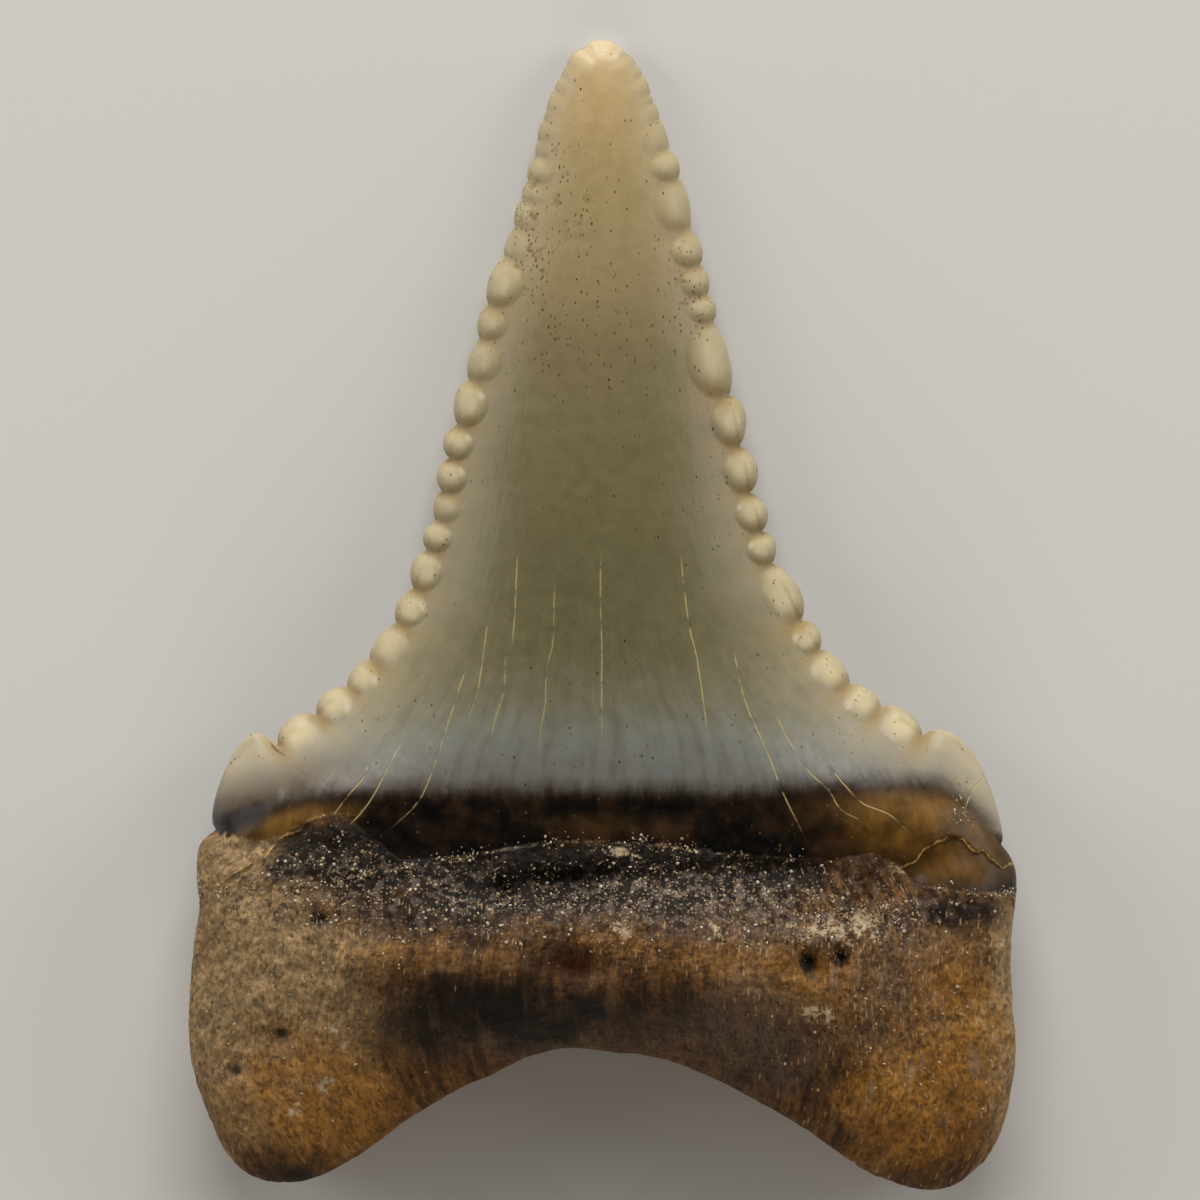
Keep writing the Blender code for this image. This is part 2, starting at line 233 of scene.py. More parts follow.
@dataclass(frozen=True)
class Outline:
    """The tooth seen from above, in smooth stretches from the tip to the root."""

    tip_left: Pairs = (
        (-0.28, 13.04), (-0.47, 12.86), (-0.74, 12.60), (-0.94, 12.24), (-1.20, 11.65), (-1.40, 11.05),
        (-1.52, 10.42),
    )
    tip_right: Pairs = (
        (0.24, 13.04), (0.52, 12.78), (0.72, 12.55), (0.88, 12.28), (1.06, 11.85), (1.28, 11.26),
    )
    tip_top: Pairs = ((-0.28, 13.04), (-0.02, 13.08), (0.24, 13.04))
    blade_left: Pairs = (
        (-1.52, 10.42), (-1.99, 8.85), (-2.58, 7.03), (-3.02, 5.31), (-3.47, 3.53), (-3.79, 2.10),
        (-4.30, 0.48), (-5.25, -1.05), (-6.40, -2.25), (-7.33, -3.03), (-8.07, -3.95), (-8.77, -4.90),
    )
    blade_right: Pairs = (
        (1.28, 11.26), (1.69, 9.92), (1.99, 8.70), (2.50, 6.67), (2.85, 4.97), (3.32, 2.76),
        (3.90, 1.00), (4.80, -0.68), (5.90, -1.86), (7.26, -2.83), (8.17, -4.03), (9.02, -5.22),
    )
    side_left: Pairs = (
        (-8.77, -4.90), (-9.12, -5.24), (-9.20, -6.06), (-9.14, -6.65), (-9.28, -7.65), (-9.38, -9.10),
        (-9.31, -10.15), (-9.04, -11.06), (-8.68, -11.95), (-8.31, -12.50),
    )
    side_right: Pairs = (
        (9.02, -5.22), (9.25, -5.55), (9.37, -5.95), (9.35, -6.55), (9.26, -7.55), (9.29, -8.85),
        (9.36, -9.80), (9.30, -10.60), (9.17, -11.30), (8.96, -11.92), (8.66, -12.42),
    )
    arch: Pairs = (
        (-8.31, -12.50), (-7.79, -12.82), (-7.06, -12.91), (-6.24, -12.69), (-5.29, -12.10),
        (-4.38, -11.47), (-3.47, -10.90), (-2.56, -10.47), (-1.75, -10.08), (-0.80, -9.86),
        (0.21, -9.93), (1.30, -10.08), (2.25, -10.42), (3.35, -10.98), (4.48, -11.63), (5.39, -12.26),
        (6.30, -12.81), (7.32, -13.08), (8.05, -12.93), (8.66, -12.42),
    )
    beads_left: Pairs = (
        (0.58, 0.10), (0.48, 0.07), (0.60, 0.10), (0.77, 0.08), (1.14, 0.19), (0.78, 0.16),
        (1.00, 0.15), (1.05, 0.24), (0.78, 0.25), (0.77, 0.22), (0.70, 0.15), (0.69, 0.20),
        (0.95, 0.27), (0.87, 0.23), (1.07, 0.19), (0.78, 0.20), (0.96, 0.27), (1.13, 0.35),
    )
    beads_right: Pairs = (
        (0.70, 0.07), (0.70, 0.14), (1.20, 0.14), (0.84, 0.17), (0.69, 0.15), (0.63, 0.15),
        (1.73, 0.20), (1.16, 0.31), (1.10, 0.33), (0.93, 0.30), (0.75, 0.25), (1.48, 0.34),
        (0.78, 0.27), (1.03, 0.22), (0.93, 0.21), (1.13, 0.28),
    )
    shoulder_left: Bead = Bead(2.34, 0.74, 0.45, 0.50, 0.0)
    shoulder_right: Bead = Bead(2.98, 0.68, 0.60, 0.65, 0.0)
    bead_fullness: float = 0.62
    bead_lean: float = 0.22
    full_bead: float = 0.22
    pearl_depth: tuple[float, float] = (0.18, 0.10)
    nibble_pitch: float = 0.38
    nibble_proud: float = 0.045
    nibble_lean: float = 0.8
    rows_tip: int = 80
    rows_blade: int = 400
    rows_side: int = 150

    def beads(self, pairs: Pairs, shoulder: Bead) -> list[Bead]:
        """Every bead of one side, from the tip down, with its shoulder last."""
        leans = [1 + self.bead_lean * math.sin(2.4 * index) for index in range(len(pairs))]
        plain = [Bead(*pair, lean, self.bead_fullness) for pair, lean in zip(pairs, leans)]
        return plain + [shoulder]

    def serrated(self, blade: np.ndarray, beads: list[Bead], side: int) -> tuple[np.ndarray, list[Pearl]]:
        """Adds the beads to the blade's notch line.

        Args:
            blade: Points of the notch line.
            beads: The side's beads.
            side: -1 for left and 1 for right.

        Returns:
            The serrated points, and the rounded top of each bead.
        """
        tangent = np.gradient(blade, axis=0)
        tangent /= np.linalg.norm(tangent, axis=1)[:, None]
        outward = side * np.column_stack([-tangent[:, 1], tangent[:, 0]])
        stops = np.linspace(0, sum(bead.length for bead in beads), len(blade))
        offsets, pearls = np.zeros(len(blade)), []
        start = 0.0
        for bead in beads:
            inside = np.clip((stops - start) / bead.length, 0, 1)
            offsets += bead.proud * bead.profile(inside)
            row = int(np.searchsorted(stops, start + 0.5 * bead.length))
            depth = self.pearl_depth[0] + self.pearl_depth[1] * bead.length
            middle = blade[row] + outward[row] * (bead.proud - depth)
            share = min(1.0, bead.proud / self.full_bead) * bead.swell
            pearls.append(Pearl(middle, tangent[row], 0.54 * bead.length, depth, share, side))
            start += bead.length
        return blade + outward * offsets[:, None], pearls

    def side(self, side: int) -> tuple[np.ndarray, np.ndarray, list[Pearl]]:
        """One side of the outline, from the tip to its lobe.

        Args:
            side: -1 for left and 1 for right.

        Returns:
            The plain line, the serrated line and the rounded tops of its beads.
        """
        left = side < 0
        tip = smooth_curve(self.tip_left if left else self.tip_right, np.linspace(0, 1, self.rows_tip))
        length = np.hypot(*np.diff(tip, axis=0).T).sum()
        count = round(length / self.nibble_pitch)
        swings = 1 + 0.4 * np.sin(2.4 * np.arange(count) + side)
        nibbles = [
            Bead(length * swing / swings.sum(), proud * swing, self.nibble_lean, self.bead_fullness, 0.6)
            for swing, proud in zip(swings, [0.0] + [self.nibble_proud] * (count - 1))
        ]
        nibbled, small = self.serrated(tip, nibbles, side)
        notches = self.blade_left if left else self.blade_right
        blade = smooth_curve(notches, np.linspace(0, 1, self.rows_blade))
        flank = self.side_left if left else self.side_right
        root = smooth_curve(flank, np.linspace(0, 1, self.rows_side))[1:]
        pairs = self.beads_left if left else self.beads_right
        shoulder = self.shoulder_left if left else self.shoulder_right
        toothed, pearls = self.serrated(blade, self.beads(pairs, shoulder), side)
        plain, edge = np.vstack([tip[:-1], blade, root]), np.vstack([nibbled[:-1], toothed, root])
        return plain, edge, small + pearls


@dataclass
class Plan:
    """The loft's grid seen from above, row by row from the tip to the arch."""

    outline: Outline
    columns: int = 200
    edge_crowding: float = 0.6
    bead_reach: float = 0.8
    outline_pitch: float = 0.02
    tip_rounding: float = 0.7
    row_sag: Pairs = (
        (-12.5, 0.0), (-8.0, 0.5), (-5.0, 1.2), (-3.0, 1.2), (0.0, 0.35), (3.0, 0.0), (13.0, 0.0),
    )
    arch_power: float = 1.7
    narrowest: float = 0.2
    even_chord_y: tuple[float, float] = (-5.3, -3.7)
    beaded_y: float = -4.9
    standing_out: Pairs = (
        (-13.1, 0.0), (-5.3, 0.0), (-4.6, 0.5), (-3.6, 0.7), (-2.6, 0.35), (0.0, 0.25), (13.1, 0.1),
    )
    places: np.ndarray = field(init=False)
    across: np.ndarray = field(init=False)
    bead: np.ndarray = field(init=False)
    under: np.ndarray = field(init=False)
    edge: np.ndarray = field(init=False)
    depth: np.ndarray = field(init=False)
    inward: np.ndarray = field(init=False)

    def lay(self) -> None:
        """Works out every grid point's place, share across, bead marks and edge distance."""
        left_plain, left_edge, left_pearls = self.outline.side(-1)
        right_plain, right_edge, right_pearls = self.outline.side(1)
        t = np.linspace(0, 1, self.columns)
        stops = t - self.edge_crowding * np.sin(2 * np.pi * t) / (2 * np.pi)
        top_row = smooth_curve(self.outline.tip_top, stops)
        bottom_row = smooth_curve(self.outline.arch, stops)
        rows = len(left_plain)
        place = np.linspace(0, 1, rows)[:, None, None]
        u = stops[None, :, None]
        straight = (1 - u) * left_plain[:, None] + u * right_plain[:, None]
        tip_share = 1 - smoothstep(0, 0.5 * self.outline.rows_tip / rows, place)
        root_start = (self.outline.rows_tip + self.outline.rows_blade) / rows
        arch_share = np.clip((place - root_start) / (1 - root_start), 0, 1) ** self.arch_power
        grid = straight + tip_share * (top_row - straight[0]) + arch_share * (bottom_row - straight[-1])
        width = np.linalg.norm(right_plain - left_plain, axis=1)[:, None, None]
        near_left = np.exp(-u * width / self.bead_reach)
        near_right = np.exp((u - 1) * width / self.bead_reach)
        pushed_left = near_left * (1 - u) ** 2 * (left_edge - left_plain)[:, None]
        pushed_right = near_right * u**2 * (right_edge - right_plain)[:, None]
        grid += pushed_left + pushed_right
        sag = along(self.row_sag, (left_plain[:, 1] + right_plain[:, 1]) / 2)[:, None]
        grid[..., 1] -= sag * ((1 - near_left) * (1 - near_right) * (1 - arch_share))[..., 0]
        height = grid[..., 1]
        left_x = np.interp(height, left_plain[::-1, 1], left_plain[::-1, 0])
        right_x = np.interp(height, right_plain[::-1, 1], right_plain[::-1, 0])
        chord = np.clip((grid[..., 0] - left_x) / np.maximum(right_x - left_x, self.narrowest), 0, 1)
        self.across = stops + (chord - stops) * smoothstep(*self.even_chord_y, height)
        spreads = [pearl.spread(grid[..., 0], grid[..., 1]) for pearl in left_pearls + right_pearls]
        self.bead, self.under = np.max(spreads, axis=0)
        top, bottom = top_row[1:-1], bottom_row[-2:0:-1]
        loop = np.vstack([left_edge[::-1], top, right_edge, bottom, left_edge[-1:]])
        self.edge = self.distances(grid, loop)
        smooth = np.vstack([left_plain[::-1], top, right_plain, bottom, left_plain[-1:]])
        past = (grid[..., 0] < left_x) | (grid[..., 0] > right_x)
        signed = self.distances(grid, smooth) * np.where(past & (height > self.beaded_y), -1, 1)
        deepest = np.maximum(signed.max(axis=1, keepdims=True), self.tip_rounding)
        self.inward = 0.5 * np.maximum(signed, 0) / deepest
        self.depth = np.maximum(signed + along(self.standing_out, height), 0)
        self.places = grid

    def distances(self, grid: np.ndarray, loop: np.ndarray) -> np.ndarray:
        """Distance in plan from each grid point to the tooth's outline.

        Args:
            grid: The grid's points.
            loop: The outline's points.

        Returns:
            One distance for each grid point.
        """
        length = np.hypot(*np.diff(loop, axis=0).T).sum()
        dense = walk(loop, np.linspace(0, 1, int(length / self.outline_pitch)))
        tree = KDTree(len(dense))
        for index, (x, y) in enumerate(dense):
            tree.insert((x, y, 0), index)
        tree.balance()
        found = [tree.find((x, y, 0))[2] for x, y in grid.reshape(-1, 2)]
        return np.array(found).reshape(grid.shape[:2])


@dataclass(frozen=True)
class Heights:
    """Heights of both faces over the resting plane, with every ledge, bump and hollow."""

    crest: Pairs = (
        (-13.1, 3.25), (-9.0, 3.55), (-6.5, 3.62), (-5.0, 3.58), (-4.0, 3.55), (-3.0, 3.40),
        (0.0, 2.85), (4.0, 2.20), (8.0, 1.62), (10.0, 1.36), (12.0, 1.02), (13.1, 0.78),
    )
    seam: Pairs = (
        (-13.1, 1.70), (-9.0, 1.85), (-6.0, 1.80), (-4.9, 1.45), (-3.5, 1.10), (0.0, 0.92), (4.0, 0.78),
        (8.0, 0.58), (10.0, 0.48), (13.1, 0.38),
    )
    sole: Pairs = (
        (-13.1, -0.14), (-11.0, -0.12), (-9.0, 0.16), (-6.0, 0.36), (-3.0, 0.44), (0.0, 0.40),
        (4.0, 0.22), (8.0, 0.07), (11.0, -0.04), (13.1, 0.02),
    )
    enamel_end: Pairs = (
        (-9.3, -4.80), (-8.0, -4.58), (-7.0, -4.30), (-6.0, -4.22), (-3.0, -4.20), (3.0, -4.25),
        (6.0, -3.95), (7.5, -4.00), (8.1, -4.22), (8.5, -4.70), (8.9, -5.25), (9.4, -5.50),
    )
    labial_end: Pairs = ((-9.0, -4.9), (-5.0, -6.3), (0.0, -5.3), (5.0, -6.3), (9.0, -5.4))
    band_end: Pairs = (
        (-9.0, -6.30), (-7.2, -6.17), (-5.9, -5.99), (-4.3, -5.74), (-2.7, -5.40), (-1.2, -5.13),
        (0.9, -5.17), (2.5, -5.38), (4.1, -5.50), (5.6, -5.85), (7.6, -6.22), (9.3, -6.35),
    )
    lip: Pairs = (
        (-9.4, -6.42), (-8.77, -6.17), (-8.13, -5.74), (-7.61, -5.48), (-7.43, -5.24), (-7.34, -5.10),
        (-7.15, -4.99), (-6.95, -4.94), (-6.79, -4.85), (-6.70, -4.69), (-6.39, -4.57), (-6.0, -4.50),
        (0.0, -4.90), (6.2, -6.10), (6.71, -5.74), (7.07, -5.58), (7.23, -5.33), (7.57, -5.14),
        (7.91, -5.02), (8.14, -5.10), (8.28, -5.28), (8.44, -5.40), (8.60, -5.33), (8.80, -5.58),
        (9.03, -5.76), (9.23, -5.67), (9.4, -5.70),
    )
    glaze_end: Pairs = (
        (-9.4, -4.92), (-8.8, -4.96), (-8.2, -5.08), (-7.6, -5.14), (-7.2, -5.02), (-6.70, -4.69),
        (-6.0, -4.48), (-5.3, -4.98), (-4.5, -5.62), (-2.7, -5.40), (-1.2, -5.13), (0.9, -5.17),
        (2.5, -5.38), (4.1, -5.50), (5.2, -5.56), (6.1, -5.42), (6.65, -5.70), (7.1, -6.16),
        (8.0, -6.28), (9.4, -6.34),
    )
    scar: Pairs = (
        (-0.75, 12.70), (-0.53, 12.66), (-0.22, 12.49), (-0.02, 12.66), (0.10, 12.57), (0.30, 12.60),
        (0.44, 12.79), (0.60, 12.90),
    )
    scar_depth: float = 0.03
    enamel_step: float = 0.03
    labial_step: float = 0.08
    band_ledge: float = 0.035
    lip_depth: tuple[float, float] = (0.05, 0.07)
    pillow: float = 0.16
    blade_rim_width: float = 0.42
    blade_rim_rise: float = 0.24
    blade_rim_drop: float = 0.22
    root_rim_width: float = 2.4
    root_rim_width_under: float = 1.9
    root_slimming: float = 0.0022
    shoulder_y: tuple[float, float] = (-4.6, -2.4)
    dome_power: Pairs = ((-13.1, 3.6), (-3.0, 3.6), (0.0, 2.5), (3.0, 2.1), (13.1, 2.1))
    sole_power: float = 3.6
    relief_edge: float = 1.1
    lingual_relief: tuple[Patch, ...] = (
        Patch(-0.5, -8.10, 6.2, 1.65, 0.95),
        Patch(-0.4, -6.85, 2.6, 0.50, 0.12),
        Patch(-1.0, -6.14, 1.6, 0.36, -0.42, 0.06),
        Patch(3.0, -5.85, 2.2, 0.28, -0.16, 0.02),
        Patch(-0.63, -7.95, 0.60, 0.42, -0.42),
        Patch(-2.20, -6.27, 0.20, 0.20, -0.24),
        Patch(4.62, -7.90, 0.24, 0.34, -0.34, 0.2),
        Patch(5.35, -7.78, 0.18, 0.24, -0.28),
        Patch(-6.38, -6.92, 0.26, 0.20, -0.20),
        Patch(-7.22, -9.47, 0.26, 0.24, -0.18),
        Patch(-8.20, -10.30, 0.22, 0.26, -0.16),
        Patch(8.0, -5.80, 1.25, 0.50, -0.18, 0.05),
        Patch(-7.6, -5.15, 0.80, 0.22, -0.14, 0.35),
        Patch(7.3, -9.4, 0.35, 2.2, 0.10, 0.28),
        Patch(6.1, -10.0, 0.32, 2.0, 0.08, 0.42),
        Patch(8.4, -10.1, 0.30, 1.8, 0.08, 0.16),
        Patch(-3.9, -7.9, 1.9, 0.45, 0.10, -0.1),
        Patch(-7.43, -3.75, 0.20, 0.75, 0.06),
        Patch(-8.15, -3.45, 0.40, 0.85, 0.06, -0.2),
        Patch(-8.30, -3.80, 0.35, 0.60, -0.07),
        Patch(7.95, -3.55, 0.75, 0.55, 0.06, -0.4),
        Patch(8.45, -4.3, 0.22, 0.9, 0.06, 0.3),
    )
    labial_relief: tuple[Patch, ...] = (
        Patch(0.0, -8.2, 3.0, 1.6, -0.40),
        Patch(-0.9, -3.0, 0.45, 2.2, -0.07),
        Patch(1.0, -3.2, 0.45, 2.1, -0.07),
        Patch(-4.6, -8.3, 0.22, 0.30, -0.22),
        Patch(4.2, -8.8, 0.26, 0.24, -0.22),
        Patch(0.4, -8.2, 0.30, 0.24, -0.26),
    )

    def scarred(self, x: np.ndarray, y: np.ndarray) -> np.ndarray:
        """1 on the chipped end of the tip, above its zigzag edge."""
        return smoothstep(-0.04, 0.16, y - np.interp(x, *np.array(self.scar).T))

    def lip_fall(self, x: np.ndarray, y: np.ndarray) -> np.ndarray:
        """How far the face falls under the broken lips at both shoulders."""
        below = np.interp(x, *np.array(self.lip).T) - y
        depth = np.where(x < 0, *self.lip_depth) * smoothstep(6.4, 6.9, np.abs(x))
        return depth * smoothstep(-0.02, 0.06, below) * (1 - smoothstep(0.2, 0.9, below))

    def lingual(self, plan: Plan) -> np.ndarray:
        """Height of the domed upper face."""
        x, y = plan.places[..., 0], plan.places[..., 1]
        seam, crest = along(self.seam, y), along(self.crest, y)
        root = 1 - smoothstep(*self.shoulder_y, y)
        inner = smoothstep(0, self.relief_edge, plan.edge)
        dome = 1 - (1 - 2 * plan.inward) ** along(self.dome_power, y)
        crown = seam + self.blade_rim_rise * quarter_round(plan.edge, self.blade_rim_width)
        crown += np.clip(crest - seam - self.blade_rim_rise, 0, None) * dome
        crown += self.pillow * smoothstep(0, 1, plan.bead) * smoothstep(0, 0.12, plan.edge)
        crown -= self.scar_depth * self.scarred(x, y) * smoothstep(0, 0.2, plan.edge)
        limb = (crest - seam) * quarter_round(plan.depth, self.root_rim_width)
        rim = quarter_round(plan.edge, self.blade_rim_width)
        limb = seam + limb * (1 - self.root_slimming * x**2) * (rim + (1 - rim) * smoothstep(-4.7, -5.4, y))
        limb += self.band_ledge * smoothstep(-0.20, 0.12, y - along(self.band_end, x)) * inner
        step = self.enamel_step * smoothstep(-0.3, 0.3, y - along(self.enamel_end, x)) * inner
        relief = sum(patch.spread(x, y) for patch in self.lingual_relief) * inner
        fall = self.lip_fall(x, y) * smoothstep(0, 0.4, plan.edge)
        return crown * (1 - root) + limb * root + step + relief - fall

    def labial(self, plan: Plan) -> np.ndarray:
        """Height of the flatter lower face, flat where it rests."""
        x, y = plan.places[..., 0], plan.places[..., 1]
        seam, sole = along(self.seam, y), along(self.sole, y)
        root = 1 - smoothstep(*self.shoulder_y, y)
        inner = smoothstep(0, self.relief_edge, plan.edge)
        flat = 1 - (1 - 2 * plan.inward) ** self.sole_power
        crown = seam - self.blade_rim_drop * quarter_round(plan.edge, self.blade_rim_width)
        crown -= np.clip(seam - self.blade_rim_drop - sole, 0, None) * flat
        crown -= self.pillow * plan.bead * smoothstep(0, 0.25, plan.edge) * (1 - smoothstep(9.0, 10.5, y))
        limb = seam - (seam - sole) * quarter_round(plan.edge, self.root_rim_width_under)
        step = self.labial_step * smoothstep(-0.08, 0.08, along(self.labial_end, x) - y) * inner
        relief = sum(patch.spread(x, y) for patch in self.labial_relief) * inner
        return np.maximum(crown * (1 - root) + limb * root + step - relief, 0)


LINGUAL_STAINS: dict[Stain, tuple[Patch, ...]] = {
    Stain.AMBER: (
        Patch(-7.0, -4.80, 1.2, 0.36, 1.0, 0.3),
        Patch(7.2, -4.75, 1.8, 0.75, 0.9, -0.1),
        Patch(8.0, -5.75, 1.1, 0.45, 0.6),
        Patch(-4.2, -7.9, 2.6, 0.7, 0.36, -0.1),
        Patch(7.0, -11.2, 1.6, 1.5, 0.95, 0.3),
        Patch(-6.4, -11.0, 2.2, 1.6, 0.8, -0.3),
        Patch(4.8, -8.6, 1.6, 0.9, 0.6),
        Patch(7.6, -9.4, 1.8, 2.0, 0.5),
        Patch(0.2, -7.4, 1.2, 0.4, 0.4),
        Patch(7.8, -8.3, 1.1, 1.6, 0.4),
        Patch(0.2, -4.80, 1.5, 0.26, 0.16),
        Patch(3.0, -8.0, 1.8, 0.7, 0.5),
    ),
    Stain.CRUST: (
        Patch(5.7, -7.1, 1.4, 0.50, 0.60),
        Patch(2.55, -7.15, 0.55, 0.30, 0.6),
        Patch(0.45, -5.42, 0.50, 0.17, 0.85, -0.35),
        Patch(0.39, -7.08, 0.30, 0.24, 0.9, -0.7),
        Patch(4.4, -7.15, 0.9, 0.30, 0.25),
        Patch(1.6, -6.3, 0.7, 0.3, 0.35),
        Patch(3.4, -6.5, 0.9, 0.3, 0.35),
        Patch(0.51, -4.74, 0.22, 0.12, 0.9),
        Patch(4.89, -9.01, 0.42, 0.22, 0.9),
        Patch(-6.04, -9.40, 0.12, 0.24, 0.9, 0.3),
        Patch(-5.79, -9.76, 0.12, 0.22, 0.8, -0.2),
        Patch(-6.20, -10.60, 0.26, 0.30, 0.85, -0.5),
        Patch(-6.95, -11.24, 0.16, 0.26, 0.8, -0.3),
        Patch(-8.09, -11.74, 0.24, 0.14, 0.6, 0.4),
        Patch(6.9, -5.65, 0.45, 0.30, 0.7),
    ),
    # Dark stain over the band's underside and the root's middle. It is also painted shade: the small patches on
    # the relief's hollows and pits, and the patches along the lobes' lower edges, darken where shade falls.
    Stain.DARK_STAIN_AND_SHADE: (
        Patch(-1.0, -6.14, 1.7, 0.42, 1.0, 0.06),
        Patch(-0.8, -9.0, 3.2, 0.9, 0.62),
        Patch(-6.0, -5.35, 1.35, 0.65, 1.0, 0.1),
        Patch(4.62, -7.90, 0.24, 0.34, 1.0, 0.2),
        Patch(5.35, -7.78, 0.16, 0.24, 1.0),
        Patch(-6.38, -6.92, 0.22, 0.16, 0.8),
        Patch(-7.22, -9.47, 0.18, 0.16, 0.8),
        Patch(-8.29, -10.33, 0.16, 0.20, 0.8),
        Patch(-3.8, -9.2, 2.0, 1.2, 0.35),
        Patch(0.0, -5.5, 4.6, 0.4, 0.75),
        Patch(-4.8, -5.5, 1.3, 0.6, 1.0, 0.1),
        Patch(-1.5, -6.0, 4.4, 0.7, 0.6),
        Patch(-3.6, -6.8, 3.0, 0.6, 0.6),
        Patch(-7.2, -5.75, 0.7, 0.25, 0.6, 0.6),
        Patch(1.8, -6.5, 1.8, 0.6, 0.4),
        Patch(-3.0, -8.4, 2.2, 0.5, 0.3, -0.2),
        Patch(3.6, -5.9, 3.0, 0.6, 0.55, -0.05),
        Patch(7.9, -6.75, 1.2, 0.40, 0.7),
        Patch(3.2, -10.2, 1.5, 0.7, 0.3, -0.5),
        Patch(-7.0, -12.8, 1.6, 0.5, 0.6),
        Patch(7.3, -12.9, 1.6, 0.4, 0.5),
        Patch(-2.20, -6.27, 0.14, 0.14, 1.0),
    ),
    Stain.RUST: (
        Patch(-0.63, -7.98, 0.55, 0.42, 0.8),
        Patch(0.6, -8.1, 0.6, 0.35, 0.3),
        Patch(7.9, -11.4, 1.0, 0.9, 0.4),
    ),
    Stain.SPECK: (
        Patch(-1.9, 8.6, 0.45, 2.6, 1.0, 0.24),
        Patch(2.0, 7.3, 0.40, 0.9, 0.8),
        Patch(-0.2, 6.6, 1.3, 1.4, 0.3),
        Patch(-1.0, 9.6, 0.8, 1.6, 0.45),
        Patch(8.15, -4.45, 0.30, 0.45, 0.8),
    ),
    Stain.TAN: (
        Patch(-8.4, -5.6, 1.0, 0.75, 1.0, 0.3),
        Patch(-7.6, -8.0, 2.6, 2.4, 0.8),
        Patch(-7.2, -10.4, 2.2, 1.8, 0.8),
        Patch(9.4, -10.0, 0.9, 2.8, 1.0),
        Patch(9.2, -7.6, 0.4, 1.4, 0.6),
    ),
    # Grey-purple over the root's middle and right, partly its own tint and partly painted sheen.
    Stain.MAUVE_SHEEN: (
        Patch(-1.0, -9.6, 3.4, 0.7, 0.7),
        Patch(3.4, -9.4, 1.8, 1.6, 0.8, -0.4),
        Patch(6.6, -8.8, 1.4, 1.2, 0.6),
        Patch(2.6, -6.7, 3.4, 0.7, 0.5),
        Patch(7.6, -7.2, 1.4, 0.8, 0.4),
    ),
    Stain.FIBRE: (
        Patch(6.9, -9.6, 2.6, 3.4, 1.0, 0.2),
        Patch(3.4, -8.0, 2.4, 1.0, 0.6),
        Patch(-6.8, -9.6, 2.6, 3.0, 0.25),
        Patch(-2.0, -7.2, 3.4, 0.8, 0.5),
    ),
    Stain.LIP: (
        Patch(-7.7, -5.4, 1.5, 1.0, 1.0),
        Patch(8.0, -5.4, 1.6, 0.9, 1.0),
    ),
    Stain.GRAIN: (
        Patch(0.0, -6.5, 8.0, 0.9, 0.55),
        Patch(2.8, -6.4, 3.2, 0.8, 0.5),
        Patch(5.7, -7.1, 1.6, 0.7, 0.6),
        Patch(-5.5, -6.0, 2.4, 1.0, 0.6),
        Patch(6.5, -9.0, 2.6, 1.6, 0.15),
        Patch(7.0, -11.0, 2.4, 1.6, 0.06),
        Patch(-7.0, -9.6, 2.2, 2.2, 0.05),
    ),
}
LABIAL_STAINS: dict[Stain, tuple[Patch, ...]] = {
    Stain.AMBER: (Patch(7.0, -10.8, 1.9, 1.6, 0.7, 0.3), Patch(-7.0, -11.0, 1.8, 1.4, 0.6)),
    # Dark stain over the middle, and painted shade in the three hollows.
    Stain.DARK_STAIN_AND_SHADE: (
        Patch(0.0, -7.0, 4.0, 1.2, 0.7),
        Patch(0.2, -9.4, 3.2, 0.9, 0.6),
        Patch(-4.6, -8.3, 0.20, 0.26, 1.0),
        Patch(4.2, -8.8, 0.24, 0.22, 1.0),
        Patch(0.4, -8.2, 0.28, 0.22, 1.0),
    ),
    Stain.TAN: (Patch(-7.4, -8.4, 2.2, 2.2, 0.7), Patch(8.4, -8.0, 1.4, 2.0, 0.5)),
    Stain.CRUST: (Patch(3.0, -7.6, 1.4, 0.5, 0.6), Patch(-2.6, -8.9, 0.9, 0.4, 0.6)),
    Stain.SPECK: (Patch(1.5, 6.5, 0.8, 3.0, 0.4), Patch(-1.2, 4.0, 0.9, 2.0, 0.3)),
    Stain.GRAIN: (Patch(0.0, -7.2, 9.0, 1.2, 0.30), Patch(-7.0, -10.4, 2.2, 2.0, 0.12)),
}

